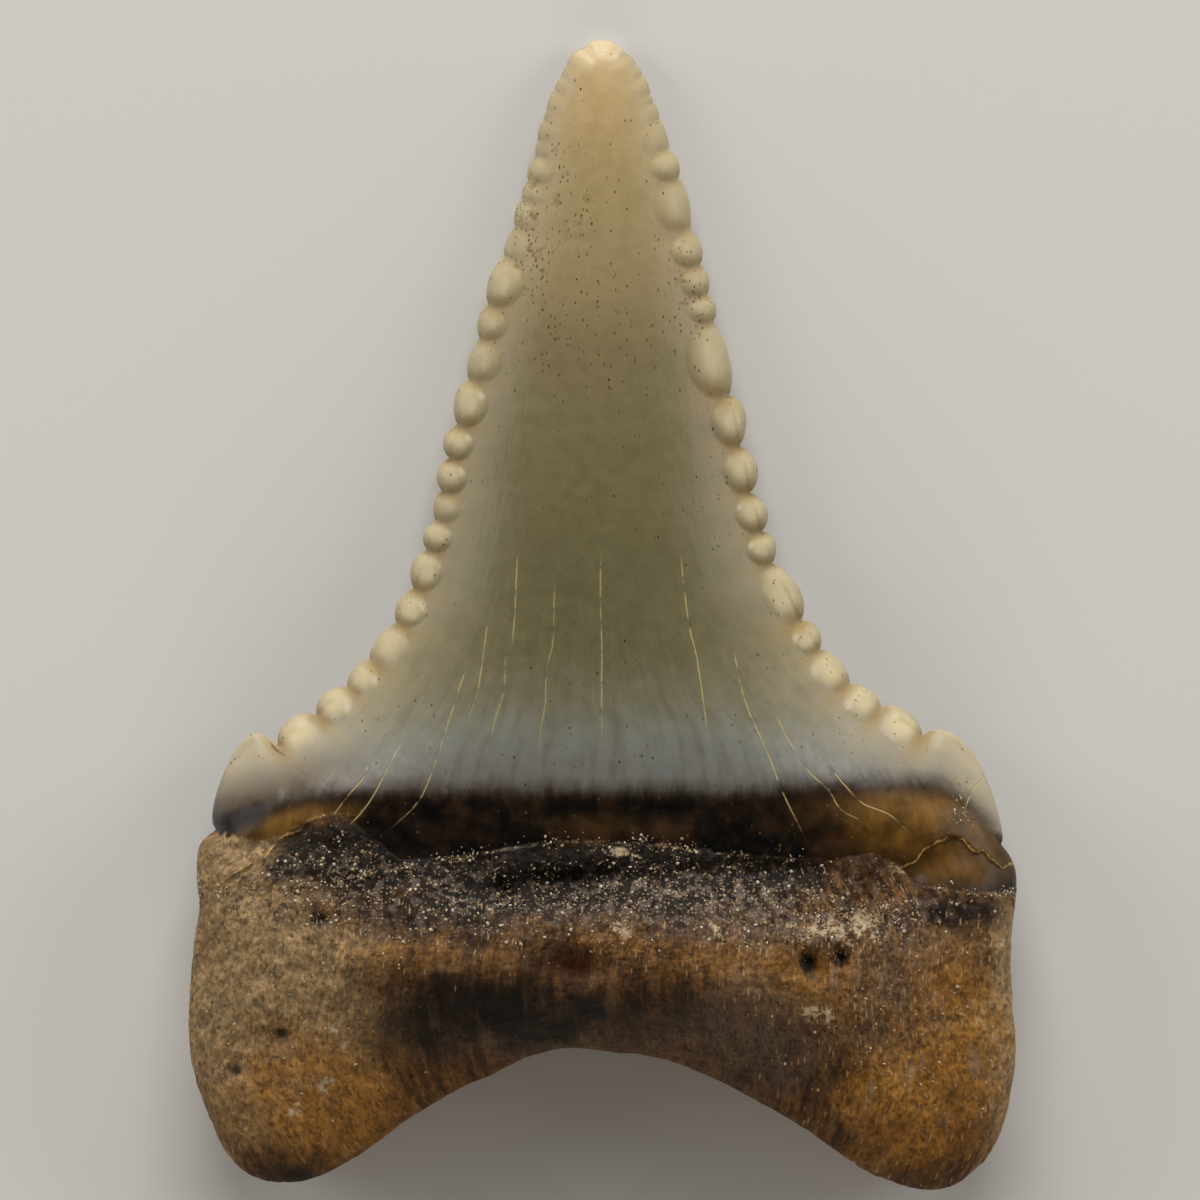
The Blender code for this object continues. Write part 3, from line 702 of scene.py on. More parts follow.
CRACKS: tuple[Crack, ...] = (
    Crack(
        ((-5.27, -3.37), (-5.41, -3.73), (-5.77, -4.13), (-6.04, -4.50), (-6.40, -4.99), (-6.76, -5.26)),
        0.9,
    ),
    Crack(
        ((-4.50, -2.82), (-4.86, -3.50), (-5.13, -4.04), (-5.41, -4.45), (-5.72, -4.77), (-6.13, -5.13)),
        0.9,
    ),
    Crack(
        ((-3.09, -1.24), (-3.43, -2.28), (-3.93, -3.78), (-4.22, -4.31), (-4.60, -4.69), (-4.93, -4.96)),
        0.8,
    ),
    Crack(((-2.61, -0.24), (-2.70, -0.90), (-2.80, -1.63), (-2.94, -2.12), (-3.08, -2.6)), 0.8),
    Crack(((-2.20, -1.0), (-2.24, -1.74), (-2.38, -2.22), (-2.49, -2.64), (-2.66, -3.3)), 0.55),
    Crack(((-1.93, 1.29), (-1.98, 0.18), (-2.05, -0.83)), 0.85),
    Crack(
        ((-1.09, 0.70), (-1.13, -0.65), (-1.27, -1.22), (-1.29, -1.94), (-1.40, -2.64), (-1.46, -3.4)),
        0.6,
    ),
    Crack(
        ((-0.05, 1.36), (-0.05, 0.15), (-0.02, -0.73), (-0.02, -1.42), (-0.02, -2.47), (0.02, -3.2)),
        0.8,
    ),
    Crack(((1.76, 1.33), (1.94, -0.15), (2.14, -1.06), (2.39, -2.76), (2.53, -3.10)), 0.9),
    Crack(((2.96, -0.83), (3.22, -1.97), (3.75, -3.20), (4.04, -3.98), (4.41, -4.75), (4.62, -5.20)), 1.0),
    Crack(
        ((3.80, -1.97), (4.13, -2.73), (4.61, -3.50), (5.09, -3.98), (5.38, -4.42), (5.91, -4.71), (6.15, -4.95)),
        0.85,
    ),
    Crack(
        ((5.09, -3.41), (5.48, -3.89), (5.86, -4.27), (6.44, -4.51), (6.82, -4.85), (6.97, -5.00)),
        0.85,
    ),
    Crack(((8.64, -3.74), (8.35, -4.03), (8.17, -4.47)), 0.9),
)


class NodeWriter:
    """Adds nodes to one tree: each method makes a node and returns its output."""

    def __init__(self, tree: bpy.types.NodeTree) -> None:
        """Keeps the tree that the nodes go into."""
        self.tree = tree

    def node(self, kind: str, **settings: Any) -> bpy.types.Node:
        """A new node of this kind, with its settings."""
        made = self.tree.nodes.new(kind)
        for name, value in settings.items():
            setattr(made, name, value)
        return made

    def plug(self, socket: Socket, value: Any) -> None:
        """Links a socket to another's output, or sets its value."""
        if isinstance(value, bpy.types.NodeSocket):
            self.tree.links.new(value, socket)
        else:
            socket.default_value = value

    def math(self, operation: str, *values: Any, clamp: bool = False) -> Socket:
        """A Math node on up to three values."""
        made = self.node("ShaderNodeMath", operation=operation, use_clamp=clamp)
        for socket, value in zip(made.inputs, values):
            self.plug(socket, value)
        return made.outputs[0]

    def times(self, first: Any, second: Any) -> Socket:
        """The product of two numbers."""
        return self.math("MULTIPLY", first, second)

    def plus(self, first: Any, second: Any, clamp: bool = False) -> Socket:
        """The sum of two numbers, kept from 0 to 1 where it is clamped."""
        return self.math("ADD", first, second, clamp=clamp)

    def minus(self, first: Any, second: Any) -> Socket:
        """The second number taken from the first."""
        return self.math("SUBTRACT", first, second)

    def vector(self, operation: str, first: Any, second: Any) -> Socket:
        """A Vector Math node on two vectors."""
        made = self.node("ShaderNodeVectorMath", operation=operation)
        self.plug(made.inputs[0], first)
        self.plug(made.inputs[1], second)
        return made.outputs[0]

    def joined(self, x: Any, y: Any, z: Any) -> Socket:
        """One vector out of three numbers."""
        made = self.node("ShaderNodeCombineXYZ")
        for socket, value in zip(made.inputs, (x, y, z)):
            self.plug(socket, value)
        return made.outputs[0]

    def span(self, value: Any, low: float, high: float) -> Socket:
        """An even S from 0 at low to 1 at high."""
        made = self.node("ShaderNodeMapRange", interpolation_type="SMOOTHSTEP")
        self.plug(made.inputs["Value"], value)
        made.inputs["From Min"].default_value = min(low, high)
        made.inputs["From Max"].default_value = max(low, high)
        if low > high:
            made.inputs["To Min"].default_value = 1.0
            made.inputs["To Max"].default_value = 0.0
        return made.outputs["Result"]

    def noise(self, place: Any, scale: float, detail: float = 3.0, roughness: float = 0.55) -> Socket:
        """Cloudy noise from 0 to 1 at the given repeats per unit of place."""
        made = self.node("ShaderNodeTexNoise")
        self.plug(made.inputs["Vector"], place)
        made.inputs["Scale"].default_value = scale
        made.inputs["Detail"].default_value = detail
        made.inputs["Roughness"].default_value = roughness
        return made.outputs[0]

    def swing(self, place: Any, scale: float, detail: float = 3.0, roughness: float = 0.55) -> Socket:
        """Cloudy noise from -0.5 to 0.5."""
        return self.minus(self.noise(place, scale, detail, roughness), 0.5)

    def cells(self, place: Any, scale: float) -> tuple[Socket, Socket]:
        """Distance to the nearest of many scattered points, and that point's own random number."""
        made = self.node("ShaderNodeTexVoronoi")
        self.plug(made.inputs["Vector"], place)
        made.inputs["Scale"].default_value = scale
        parts = self.node("ShaderNodeSeparateColor")
        self.plug(parts.inputs[0], made.outputs["Color"])
        return made.outputs["Distance"], parts.outputs[0]

    def dots(self, place: Any, scale: float, size: float, share: Any) -> Socket:
        """A mask of scattered dots, of the given share of the places that could hold one."""
        distance, pick = self.cells(place, scale)
        inside = self.span(distance, size, size * 0.45)
        return self.times(inside, self.math("LESS_THAN", pick, share))


class Paint(NodeWriter):
    """Writes one procedural material."""

    def __init__(self, name: str) -> None:
        """Starts an empty material with the object's own coordinates in millimetres."""
        self.material = bpy.data.materials.new(name)
        self.material.use_nodes = True
        super().__init__(self.material.node_tree)
        self.tree.nodes.clear()
        coordinates = self.node("ShaderNodeTexCoord").outputs["Object"]
        self.place = self.vector("MULTIPLY", coordinates, (1 / MM, 1 / MM, 1 / MM))

    def attribute(self, name: str) -> Socket:
        """A number kept on the mesh."""
        return self.node("ShaderNodeAttribute", attribute_name=name).outputs["Fac"]

    def mix(self, share: Any, low: Any, high: Any, blend: str = "MIX") -> Socket:
        """Two colours mixed by a share from 0 to 1."""
        made = self.node("ShaderNodeMix", data_type="RGBA", blend_type=blend)
        self.plug(made.inputs[0], share)
        self.plug(made.inputs[6], low)
        self.plug(made.inputs[7], high)
        return made.outputs[2]

    def scaled(self, colour: Any, factor: Any) -> Socket:
        """A colour made brighter or darker by a factor."""
        made = self.node("ShaderNodeVectorMath", operation="SCALE")
        self.plug(made.inputs[0], colour)
        self.plug(made.inputs["Scale"], factor)
        return made.outputs[0]

    def fibres(self, across: float, along: float) -> Socket:
        """Coordinates that follow the tooth's fibres, from crown to lobe, at these repeats."""
        parts = self.node("ShaderNodeSeparateXYZ")
        self.plug(parts.inputs[0], self.place)
        sideways = self.times(self.attribute("across"), across)
        deep = self.times(parts.outputs[2], 0.4 * along)
        return self.joined(sideways, self.times(parts.outputs[1], along), deep)

    def streaks(self, across: float, along: float, detail: float, roughness: float = 0.55) -> Socket:
        """Noise from 0 to 1, drawn out along the tooth's fibres."""
        return self.noise(self.fibres(across, along), 1.0, detail, roughness)

    def ramp(self, value: Any, stops: Sequence[tuple[float, Colour]]) -> Socket:
        """A colour read along a row of colour stops."""
        made = self.node("ShaderNodeValToRGB")
        self.plug(made.inputs[0], value)
        band = made.color_ramp
        band.interpolation = "EASE" if len(stops) == 2 else "LINEAR"
        for index, (place, colour) in enumerate(stops):
            stop = band.elements[index] if index < 2 else band.elements.new(place)
            stop.position = place
            stop.color = colour
        return made.outputs["Color"]

    def finish(self, colour: Any, roughness: Any, height: Any, fixed: dict[str, Any]) -> bpy.types.Material:
        """Ends the material in one Principled shader.

        Args:
            colour: The surface's colour.
            roughness: Its roughness.
            height: Its fine relief, in millimetres.
            fixed: Numbers and colours that are the same all over, by socket name.

        Returns:
            The material.
        """
        shader = self.node("ShaderNodeBsdfPrincipled")
        self.plug(shader.inputs["Base Color"], colour)
        self.plug(shader.inputs["Roughness"], roughness)
        bump = self.node("ShaderNodeBump")
        bump.inputs["Distance"].default_value = MM
        self.plug(bump.inputs["Height"], height)
        self.plug(shader.inputs["Normal"], bump.outputs["Normal"])
        for name, value in fixed.items():
            shader.inputs[name].default_value = value
        output = self.node("ShaderNodeOutputMaterial")
        self.plug(output.inputs["Surface"], shader.outputs["BSDF"])
        return self.material


@dataclass(frozen=True)
class EnamelFinish:
    """The crown's glossy enamel: straw tip, grey-green heart, cream beads with painted shade on their root sides,
    and a dark foot.
    """

    heart: Sequence[tuple[float, Colour]] = (
        (-3.6, srgb(106, 105, 99)),
        (-2.65, srgb(112, 111, 96)),
        (-2.0, srgb(106, 101, 81)),
        (-0.8, srgb(95, 90, 63)),
        (1.4, srgb(98, 92, 64)),
        (3.7, srgb(107, 99, 69)),
        (6.0, srgb(121, 109, 79)),
        (8.3, srgb(149, 132, 95)),
        (10.1, srgb(158, 139, 99)),
        (11.7, srgb(180, 153, 108)),
        (13.08, srgb(196, 172, 128)),
    )
    mottle: Sequence[tuple[float, Colour]] = ((0.3, (0.93, 0.92, 0.88, 1)), (0.7, (1.06, 1.06, 1.05, 1)))
    shade: Sequence[tuple[float, Colour]] = ((0.3, (0.84, 0.84, 0.86, 1)), (0.7, (1.12, 1.12, 1.12, 1)))
    bead: Colour = srgb(166, 153, 122)
    flare: Colour = srgb(170, 157, 129)
    pearl: Colour = srgb(190, 176, 138)
    # Painted shade: the tan that darkens the root side of each bead, away from the light.
    notch: Colour = srgb(138, 113, 64)
    shoulder: Colour = srgb(96, 84, 68)
    scar: Colour = srgb(190, 164, 122)
    scar_pale: Colour = srgb(216, 198, 166)
    veil: Colour = srgb(106, 109, 106)
    crack: Colour = srgb(172, 152, 98)
    speck: Colour = srgb(44, 29, 12)
    freckle: Colour = srgb(92, 68, 30)
    fade: Colour = srgb(40, 26, 12)
    band: Colour = srgb(3, 2, 1)
    band_warm: Colour = srgb(36, 21, 8)
    height: float = 26.16
    roughness: float = 0.32
    band_roughness: float = 0.38
    pearl_gloss: float = 0.10


@dataclass(frozen=True)
class RootFinish:
    """The root: dark fibrous bone with sand-coloured grains, amber skin and pale crust, with painted shade in its
    hollows and painted sheen.
    """

    umber: Colour = srgb(52, 33, 15)
    brown: Colour = srgb(98, 67, 32)
    tan: Colour = srgb(136, 112, 78)
    amber: Colour = srgb(138, 95, 36)
    # Grey-purple tint, partly the root's own colour and partly painted sheen.
    mauve_sheen: Colour = srgb(86, 71, 57)
    # Near-black: the bone's dark stain and its fine pits, also used as painted shade in the relief's hollows.
    dark_stain_and_shade: Colour = srgb(14, 9, 5)
    rust: Colour = srgb(64, 28, 5)
    crust: Colour = srgb(176, 156, 124)
    grain: Colour = srgb(196, 168, 120)
    dash: Colour = srgb(178, 148, 104)
    # Grey: painted sheen streaks over the lower root, and the tint of the grey grain clumps.
    sheen: Colour = srgb(112, 98, 88)
    wisp: Colour = srgb(158, 140, 118)
    # Golden line along the broken lips: partly their own golden edge, partly a painted highlight where light
    # catches them.
    golden: Colour = srgb(214, 178, 108)
    honey: Colour = srgb(110, 76, 24)
    resin: Colour = srgb(134, 98, 46)
    roughness: float = 0.70


@dataclass(frozen=True)
class ToothFinish:
    """Both finishes in one material, which meet along the enamel's foot."""

    enamel: EnamelFinish = EnamelFinish()
    root: RootFinish = RootFinish()

    def crown_colour(self, paint: Paint) -> Socket:
        """The enamel's colour down to its dark foot."""
        look = self.enamel
        parts = paint.node("ShaderNodeSeparateXYZ")
        paint.plug(parts.inputs[0], paint.place)
        up = paint.plus(parts.outputs[1], paint.times(paint.noise(paint.place, 0.5, 2.0), 0.8))
        share = paint.math("DIVIDE", paint.plus(up, look.height / 2 - 0.4), look.height, clamp=True)
        colour = paint.ramp(share, [((y + look.height / 2) / look.height, tint) for y, tint in look.heart])
        mottle = paint.ramp(paint.noise(paint.place, 2.6, 3.0, 0.6), look.mottle)
        colour = paint.mix(1.0, colour, mottle, "MULTIPLY")
        streaks = paint.streaks(50, 0.5, 3.0, 0.65)
        shade = paint.ramp(streaks, look.shade)
        zone = paint.attribute("zone")
        colour = paint.mix(paint.span(zone, 6.0, 1.0), colour, paint.mix(1.0, colour, shade, "MULTIPLY"))
        veil = paint.times(paint.span(zone, 2.6, 0.7), paint.span(streaks, 0.30, 0.62))
        colour = paint.mix(paint.times(veil, 0.7), colour, look.veil)
        wander = paint.times(paint.swing(paint.place, 1.3, 3.0, 0.6), 0.3)
        margin = paint.attribute("margin")
        wander = paint.times(wander, paint.span(margin, 0.02, 0.3))
        rim = paint.mix(paint.span(zone, 5.0, 1.6), look.bead, look.flare)
        colour = paint.mix(paint.plus(margin, wander, clamp=True), colour, rim)
        pearl = paint.times(paint.math("POWER", paint.attribute("bead"), 1.6), 0.85)
        colour = paint.mix(pearl, colour, look.pearl)
        # Painted shade: tan on the root side of each bead, away from the light.
        under = paint.times(paint.attribute("under"), 0.75)
        colour = paint.mix(under, colour, look.notch)
        broad = paint.plus(0.3, paint.times(paint.span(margin, 0.0, 0.4), 0.6))
        leftward = paint.plus(0.4, paint.times(paint.span(parts.outputs[0], 4.0, -4.0), 0.9))
        grey = paint.times(paint.span(zone, 1.5, 0.1), paint.times(broad, leftward))
        colour = paint.mix(grey, colour, look.shoulder)
        threads = paint.streaks(80, 0.9, 3.0, 0.65)
        scar = paint.mix(threads, look.scar, look.scar_pale)
        return paint.mix(paint.times(paint.attribute("scar"), 0.8), colour, scar)

    def speckled(self, paint: Paint, colour: Socket, glazed: Socket) -> Socket:
        """Adds the enamel's tiny dark specks."""
        share = paint.plus(paint.times(paint.attribute(Stain.SPECK.value), 1.1), 0.07)
        tall = paint.vector("MULTIPLY", paint.place, (1.0, 0.6, 1.0))
        share = paint.times(share, paint.span(paint.noise(paint.place, 1.3, 3.0, 0.6), 0.34, 0.56))
        share = paint.times(share, glazed)
        stained = paint.span(paint.noise(paint.place, 2.6, 3.0, 0.6), 0.56, 0.70)
        stained = paint.times(stained, paint.times(share, 0.8))
        colour = paint.mix(stained, colour, self.enamel.freckle)
        fine = paint.dots(tall, 11.0, 0.32, share)
        broad = paint.dots(tall, 8.0, 0.24, paint.times(share, 0.8))
        colour = paint.mix(paint.times(fine, 0.9), colour, self.enamel.freckle)
        return paint.mix(paint.times(broad, 0.9), colour, self.enamel.speck)

    def crack_mask(self, paint: Paint) -> Socket:
        """A thin line along each crack."""
        waver = paint.times(paint.swing(paint.place, 2.6, 3.0, 0.6), 0.05)
        away = paint.math("ABSOLUTE", paint.plus(paint.attribute("crack"), waver))
        line = paint.span(away, 0.024, 0.005)
        broken = paint.span(paint.noise(paint.place, 2.6, 3.0, 0.6), 0.36, 0.56)
        return paint.times(line, paint.times(paint.attribute("crack_shown"), broken))

    def root_colour(self, paint: Paint) -> Socket:
        """The root's colour, from its dark band to its lobes."""
        look = self.root
        clouds = paint.times(paint.swing(paint.place, 0.9, 4.0, 0.68), 1.5)
        fine = paint.noise(paint.place, 8.5, 3.0, 0.7)
        streaks = paint.streaks(80, 0.9, 3.0, 0.65)
        colour = paint.mix(paint.span(streaks, 0.35, 0.65), look.umber, look.brown)
        layers = (
            (Stain.TAN, look.tan, 0.9),
            (Stain.AMBER, look.amber, 0.85),
            # The grey-purple layer: partly the root's own tint, partly painted sheen.
            (Stain.MAUVE_SHEEN, look.mauve_sheen, 0.75),
            # The dark layer: the bone's dark stain, and painted shade in its hollows.
            (Stain.DARK_STAIN_AND_SHADE, look.dark_stain_and_shade, 0.95),
            (Stain.RUST, look.rust, 0.85),
        )
        for stain, tint, most in layers:
            mask = paint.attribute(stain.value)
            if stain is Stain.AMBER:
                mask = paint.times(mask, paint.span(paint.attribute("low_root"), 0.0, 0.2))
            spread = paint.plus(mask, paint.times(clouds, paint.span(mask, 0.0, 0.25)))
            colour = paint.mix(paint.times(paint.span(spread, 0.05, 0.85), most), colour, tint)
        grain = paint.attribute(Stain.GRAIN.value)
        tone = self.mosaic(paint, fine)
        depth = paint.plus(2.3, paint.times(grain, 2.4))
        bright = paint.plus(1.08, paint.times(paint.minus(tone, 0.50), depth))
        floor = paint.minus(0.55, paint.times(grain, 0.45))
        colour = paint.scaled(colour, paint.math("MAXIMUM", bright, floor))
        lumps = paint.span(paint.noise(paint.place, 5.0, 2.0, 0.6), 0.50, 0.58)
        lumps = paint.times(lumps, paint.times(grain, 0.55))
        colour = paint.mix(lumps, colour, paint.scaled(look.sheen[:3], paint.plus(0.5, tone)))
        rich = paint.plus(paint.times(grain, 0.55), 0.16)
        flecks = paint.dots(paint.place, 11.0, 0.38, rich)
        lit = paint.mix(paint.times(grain, 0.8), paint.scaled(colour, 1.9), look.grain)
        colour = paint.mix(paint.times(flecks, 0.55), colour, lit)
        share = paint.times(paint.attribute(Stain.FIBRE.value), 0.6)
        dashes = paint.dots(paint.fibres(230, 3.0), 1.0, 0.34, share)
        colour = paint.mix(paint.times(dashes, 0.6), colour, look.dash)
        # Painted sheen: pale grey streaks over the lower root.
        sheen = paint.times(paint.span(streaks, 0.55, 0.75), paint.times(paint.attribute("low_root"), 0.22))
        colour = paint.mix(sheen, colour, look.sheen)
        wisps = paint.span(paint.streaks(50, 0.5, 3.0, 0.65), 0.58, 0.72)
        wisps = paint.times(wisps, paint.times(paint.attribute(Stain.FIBRE.value), 0.40))
        colour = paint.mix(wisps, colour, look.wisp)
        torn = paint.noise(paint.place, 4.0, 4.0, 0.75)
        torn = paint.plus(torn, paint.times(paint.attribute(Stain.CRUST.value), 0.22))
        crusted = paint.span(paint.attribute(Stain.CRUST.value), 0.1, 0.6)
        crust = paint.times(paint.span(torn, 0.62, 0.70), crusted)
        chalk = paint.scaled(look.crust[:3], paint.plus(0.5, paint.times(tone, 1.0)))
        colour = paint.mix(crust, colour, chalk)
        pores = paint.span(paint.noise(paint.place, 8.5, 3.0, 0.7), 0.74, 0.80)
        pits = paint.math("MAXIMUM", paint.dots(paint.place, 3.8, 0.15, 0.14), pores)
        colour = paint.mix(paint.times(pits, 0.7), colour, look.dark_stain_and_shade)
        away = paint.math("ABSOLUTE", paint.plus(paint.attribute("ledge"), paint.times(clouds, 0.10)))
        worn = paint.span(paint.noise(paint.place, 4.0, 4.0, 0.75), 0.46, 0.62)
        line = paint.times(paint.span(away, 0.05, 0.012), paint.times(paint.attribute("ridge"), worn))
        return paint.mix(paint.times(line, 0.5), colour, look.crust)

    def lip_line(self, paint: Paint) -> Socket:
        """A thin line along the broken lips at both shoulders, for their golden edge with its painted highlight.
        """
        fine = paint.swing(paint.place, 8.5, 3.0, 0.7)
        away = paint.math("ABSOLUTE", paint.plus(paint.attribute("lip"), paint.times(fine, 0.16)))
        worn = paint.span(paint.noise(paint.place, 2.6, 3.0, 0.6), 0.38, 0.6)
        line = paint.times(paint.span(away, 0.040, 0.008), worn)
        return paint.times(line, paint.attribute(Stain.LIP.value))

    def mosaic(self, paint: Paint, fine: Socket) -> Socket:
        """How pale each small grain of the bone's skin is, from 0 to 1."""
        total = paint.times(paint.cells(paint.fibres(320, 10), 1.0)[1], 0.32)
        total = paint.plus(total, paint.times(paint.cells(paint.fibres(150, 4.5), 1.0)[1], 0.20))
        total = paint.plus(total, paint.times(fine, 0.28))
        return paint.plus(total, paint.times(paint.noise(paint.place, 2.6, 3.0, 0.6), 0.20))

    def band_colour(self, paint: Paint) -> Socket:
        """The glossy near-black band between the enamel and the root."""
        warm = paint.noise(paint.place, 1.3, 3.0, 0.6)
        colour = paint.ramp(warm, ((0.42, self.enamel.band), (0.72, self.enamel.band_warm)))
        patchy = paint.plus(0.5, paint.times(paint.span(warm, 0.36, 0.6), 0.5))
        amber = paint.times(paint.attribute(Stain.AMBER.value), patchy)
        lit = paint.mix(paint.span(paint.attribute("zone"), -1.1, -0.2), self.root.honey, self.root.resin)
        lines = paint.streaks(80, 0.9, 3.0, 0.65)
        lit = paint.scaled(lit, paint.plus(0.35, paint.times(lines, 1.3)))
        return paint.mix(amber, colour, lit)

    def make(self) -> bpy.types.Material:
        """The whole material."""
        paint = Paint("fossil_tooth")
        zone, glaze = paint.attribute("zone"), paint.attribute("glaze")
        fringe = paint.minus(paint.streaks(80, 0.9, 3.0, 0.65), 0.5)
        clouds = paint.swing(paint.place, 1.3, 3.0, 0.6)
        ragged = paint.plus(paint.times(fringe, 0.35), paint.times(clouds, 0.35))
        foot = paint.plus(zone, ragged)
        on_crown = paint.span(foot, -0.18, 0.30)
        crumbs = paint.times(paint.swing(paint.place, 5.0, 2.0, 0.6), 0.35)
        on_band = paint.span(paint.plus(glaze, crumbs), -0.05, 0.05)
        root = paint.mix(on_band, self.root_colour(paint), self.band_colour(paint))
        crown = paint.mix(paint.span(foot, -0.05, 0.65), self.enamel.fade, self.crown_colour(paint))
        colour = paint.mix(on_crown, root, crown)
        glazed = paint.math("MAXIMUM", on_crown, on_band)
        colour = self.speckled(paint, colour, glazed)
        colour = paint.mix(paint.times(self.crack_mask(paint), glazed), colour, self.enamel.crack)
        # The golden lip line, partly the lips' own colour and partly a painted highlight.
        colour = paint.mix(paint.times(self.lip_line(paint), 0.85), colour, self.root.golden)
        seat = paint.span(glaze, -0.06, 0.06)
        grit = paint.noise(paint.place, 8.5, 3.0, 0.7)
        bone_roughness = paint.plus(self.root.roughness - 0.10, paint.times(grit, 0.25))
        gloss = paint.noise(paint.place, 2.6, 3.0, 0.6)
        enamel_roughness = paint.plus(self.enamel.roughness - 0.08, paint.times(gloss, 0.16))
        dull = paint.times(paint.minus(1, on_crown), self.enamel.band_roughness - self.enamel.roughness)
        dull = paint.minus(dull, paint.times(paint.attribute("bead"), self.enamel.pearl_gloss))
        roughness = paint.times(glazed, paint.plus(enamel_roughness, dull))
        rough_rest = paint.times(paint.minus(1, glazed), bone_roughness)
        roughness = paint.plus(roughness, rough_rest)
        height = paint.plus(self.crown_height(paint, seat), self.root_height(paint, seat, grit))
        fixed = {
            "IOR": 1.55,
            "Specular IOR Level": 0.16,
            "Subsurface Weight": 0.15,
            "Subsurface Radius": (1.0, 0.72, 0.42),
            "Subsurface Scale": 0.5 * MM,
        }
        return paint.finish(colour, roughness, height, fixed)

    def crown_height(self, paint: Paint, smooth: Socket) -> Socket:
        """Fine relief of the enamel: faint ripples, growth lines and cracks."""
        lines = paint.times(paint.streaks(80, 0.9, 2.0), 0.008)
        ripples = paint.times(paint.noise(paint.place, 1.6, 2.0), 0.030)
        line = paint.span(paint.math("ABSOLUTE", paint.attribute("crack")), 0.030, 0.005)
        cut = paint.times(paint.times(line, paint.attribute("crack_shown")), -0.012)
        return paint.times(smooth, paint.plus(paint.plus(lines, ripples), cut))

    def root_height(self, paint: Paint, smooth: Socket, grit: Socket) -> Socket:
        """Fine relief of the bone: grains, pores and fibres."""
        total = paint.times(grit, 0.035)
        total = paint.plus(total, paint.times(paint.streaks(80, 0.9, 2.0), 0.035))
        return paint.times(paint.minus(1, smooth), total)


@dataclass(frozen=True)
class GrainFinish:
    """Loose mineral grains, from clear white through sand to brown."""

    dark: Colour = srgb(92, 66, 38)
    sand: Colour = srgb(176, 148, 104)
    pale: Colour = srgb(204, 193, 170)

    def make(self) -> bpy.types.Material:
        """The grains' material, which reads each grain's own tone."""
        paint = Paint("mineral_grain")
        tone = paint.attribute("tone")
        colour = paint.ramp(tone, ((0.0, self.dark), (0.45, self.sand), (0.85, self.pale)))
        mottle = paint.noise(paint.place, 14.0, 2.0)
        colour = paint.mix(paint.times(mottle, 0.35), colour, self.dark)
        roughness = paint.plus(0.18, paint.times(mottle, 0.3))
        fixed = {"IOR": 1.54}
        return paint.finish(colour, roughness, paint.times(mottle, 0.01), fixed)


@dataclass(frozen=True)
class FloorFinish:
    """A plain pale floor."""

    colour: Colour = srgb(214, 213, 209)
    roughness: float = 0.62

    def make(self) -> bpy.types.Material:
        """The floor's even material."""
        return Paint("pale_floor").finish(self.colour, self.roughness, 0.0, {"IOR": 1.45})


class GeometryTree(NodeWriter):
    """Writes one Geometry Nodes tree with named inputs."""

    def __init__(self, name: str) -> None:
        """Starts a tree with a mesh going in and a mesh coming out."""
        super().__init__(bpy.data.node_groups.new(name, "GeometryNodeTree"))
        self.tree.interface.new_socket("Geometry", in_out="INPUT", socket_type="NodeSocketGeometry")
        self.tree.interface.new_socket("Geometry", in_out="OUTPUT", socket_type="NodeSocketGeometry")
        self.entry = self.node("NodeGroupInput")
        self.values: dict[str, Any] = {}

    def number(self, name: str, value: Any, kind: str = "NodeSocketFloat") -> Socket:
        """A named input of the tree, with the value that the modifier gives it."""
        socket = self.tree.interface.new_socket(name, in_out="INPUT", socket_type=kind)
        self.values[socket.identifier] = value
        return self.entry.outputs[name]

    def mask(self, name: str) -> Socket:
        """A number kept on the mesh."""
        made = self.node("GeometryNodeInputNamedAttribute", data_type="FLOAT")
        made.inputs["Name"].default_value = name
        return made.outputs["Attribute"]

    def place(self) -> Socket:
        """The position in millimetres."""
        position = self.node("GeometryNodeInputPosition").outputs[0]
        return self.vector("MULTIPLY", position, (1 / MM, 1 / MM, 1 / MM))

    def close(self, geometry: Socket, material: bpy.types.Material) -> None:
        """Ends the tree: instances made real, and the material set."""
        real = self.node("GeometryNodeRealizeInstances")
        self.plug(real.inputs["Geometry"], geometry)
        dressed = self.node("GeometryNodeSetMaterial")
        self.plug(dressed.inputs["Geometry"], real.outputs["Geometry"])
        dressed.inputs["Material"].default_value = material
        self.plug(self.node("NodeGroupOutput").inputs["Geometry"], dressed.outputs["Geometry"])

    def add_to(self, thing: bpy.types.Object) -> None:
        """Puts the tree on an object, with every input's value set."""
        modifier = thing.modifiers.new(self.tree.name, "NODES")
        modifier.node_group = self.tree
        for identifier, value in self.values.items():
            modifier[identifier] = value


def baked(thing: bpy.types.Object, name: str) -> bpy.types.Object:
    """A new plain object from another's evaluated mesh, which is then removed."""
    shape = bpy.data.meshes.new_from_object(thing.evaluated_get(bpy.context.evaluated_depsgraph_get()))
    shape.name = name
    bpy.data.objects.remove(thing)
    made = bpy.data.objects.new(name, shape)
    bpy.context.scene.collection.objects.link(made)
    return made


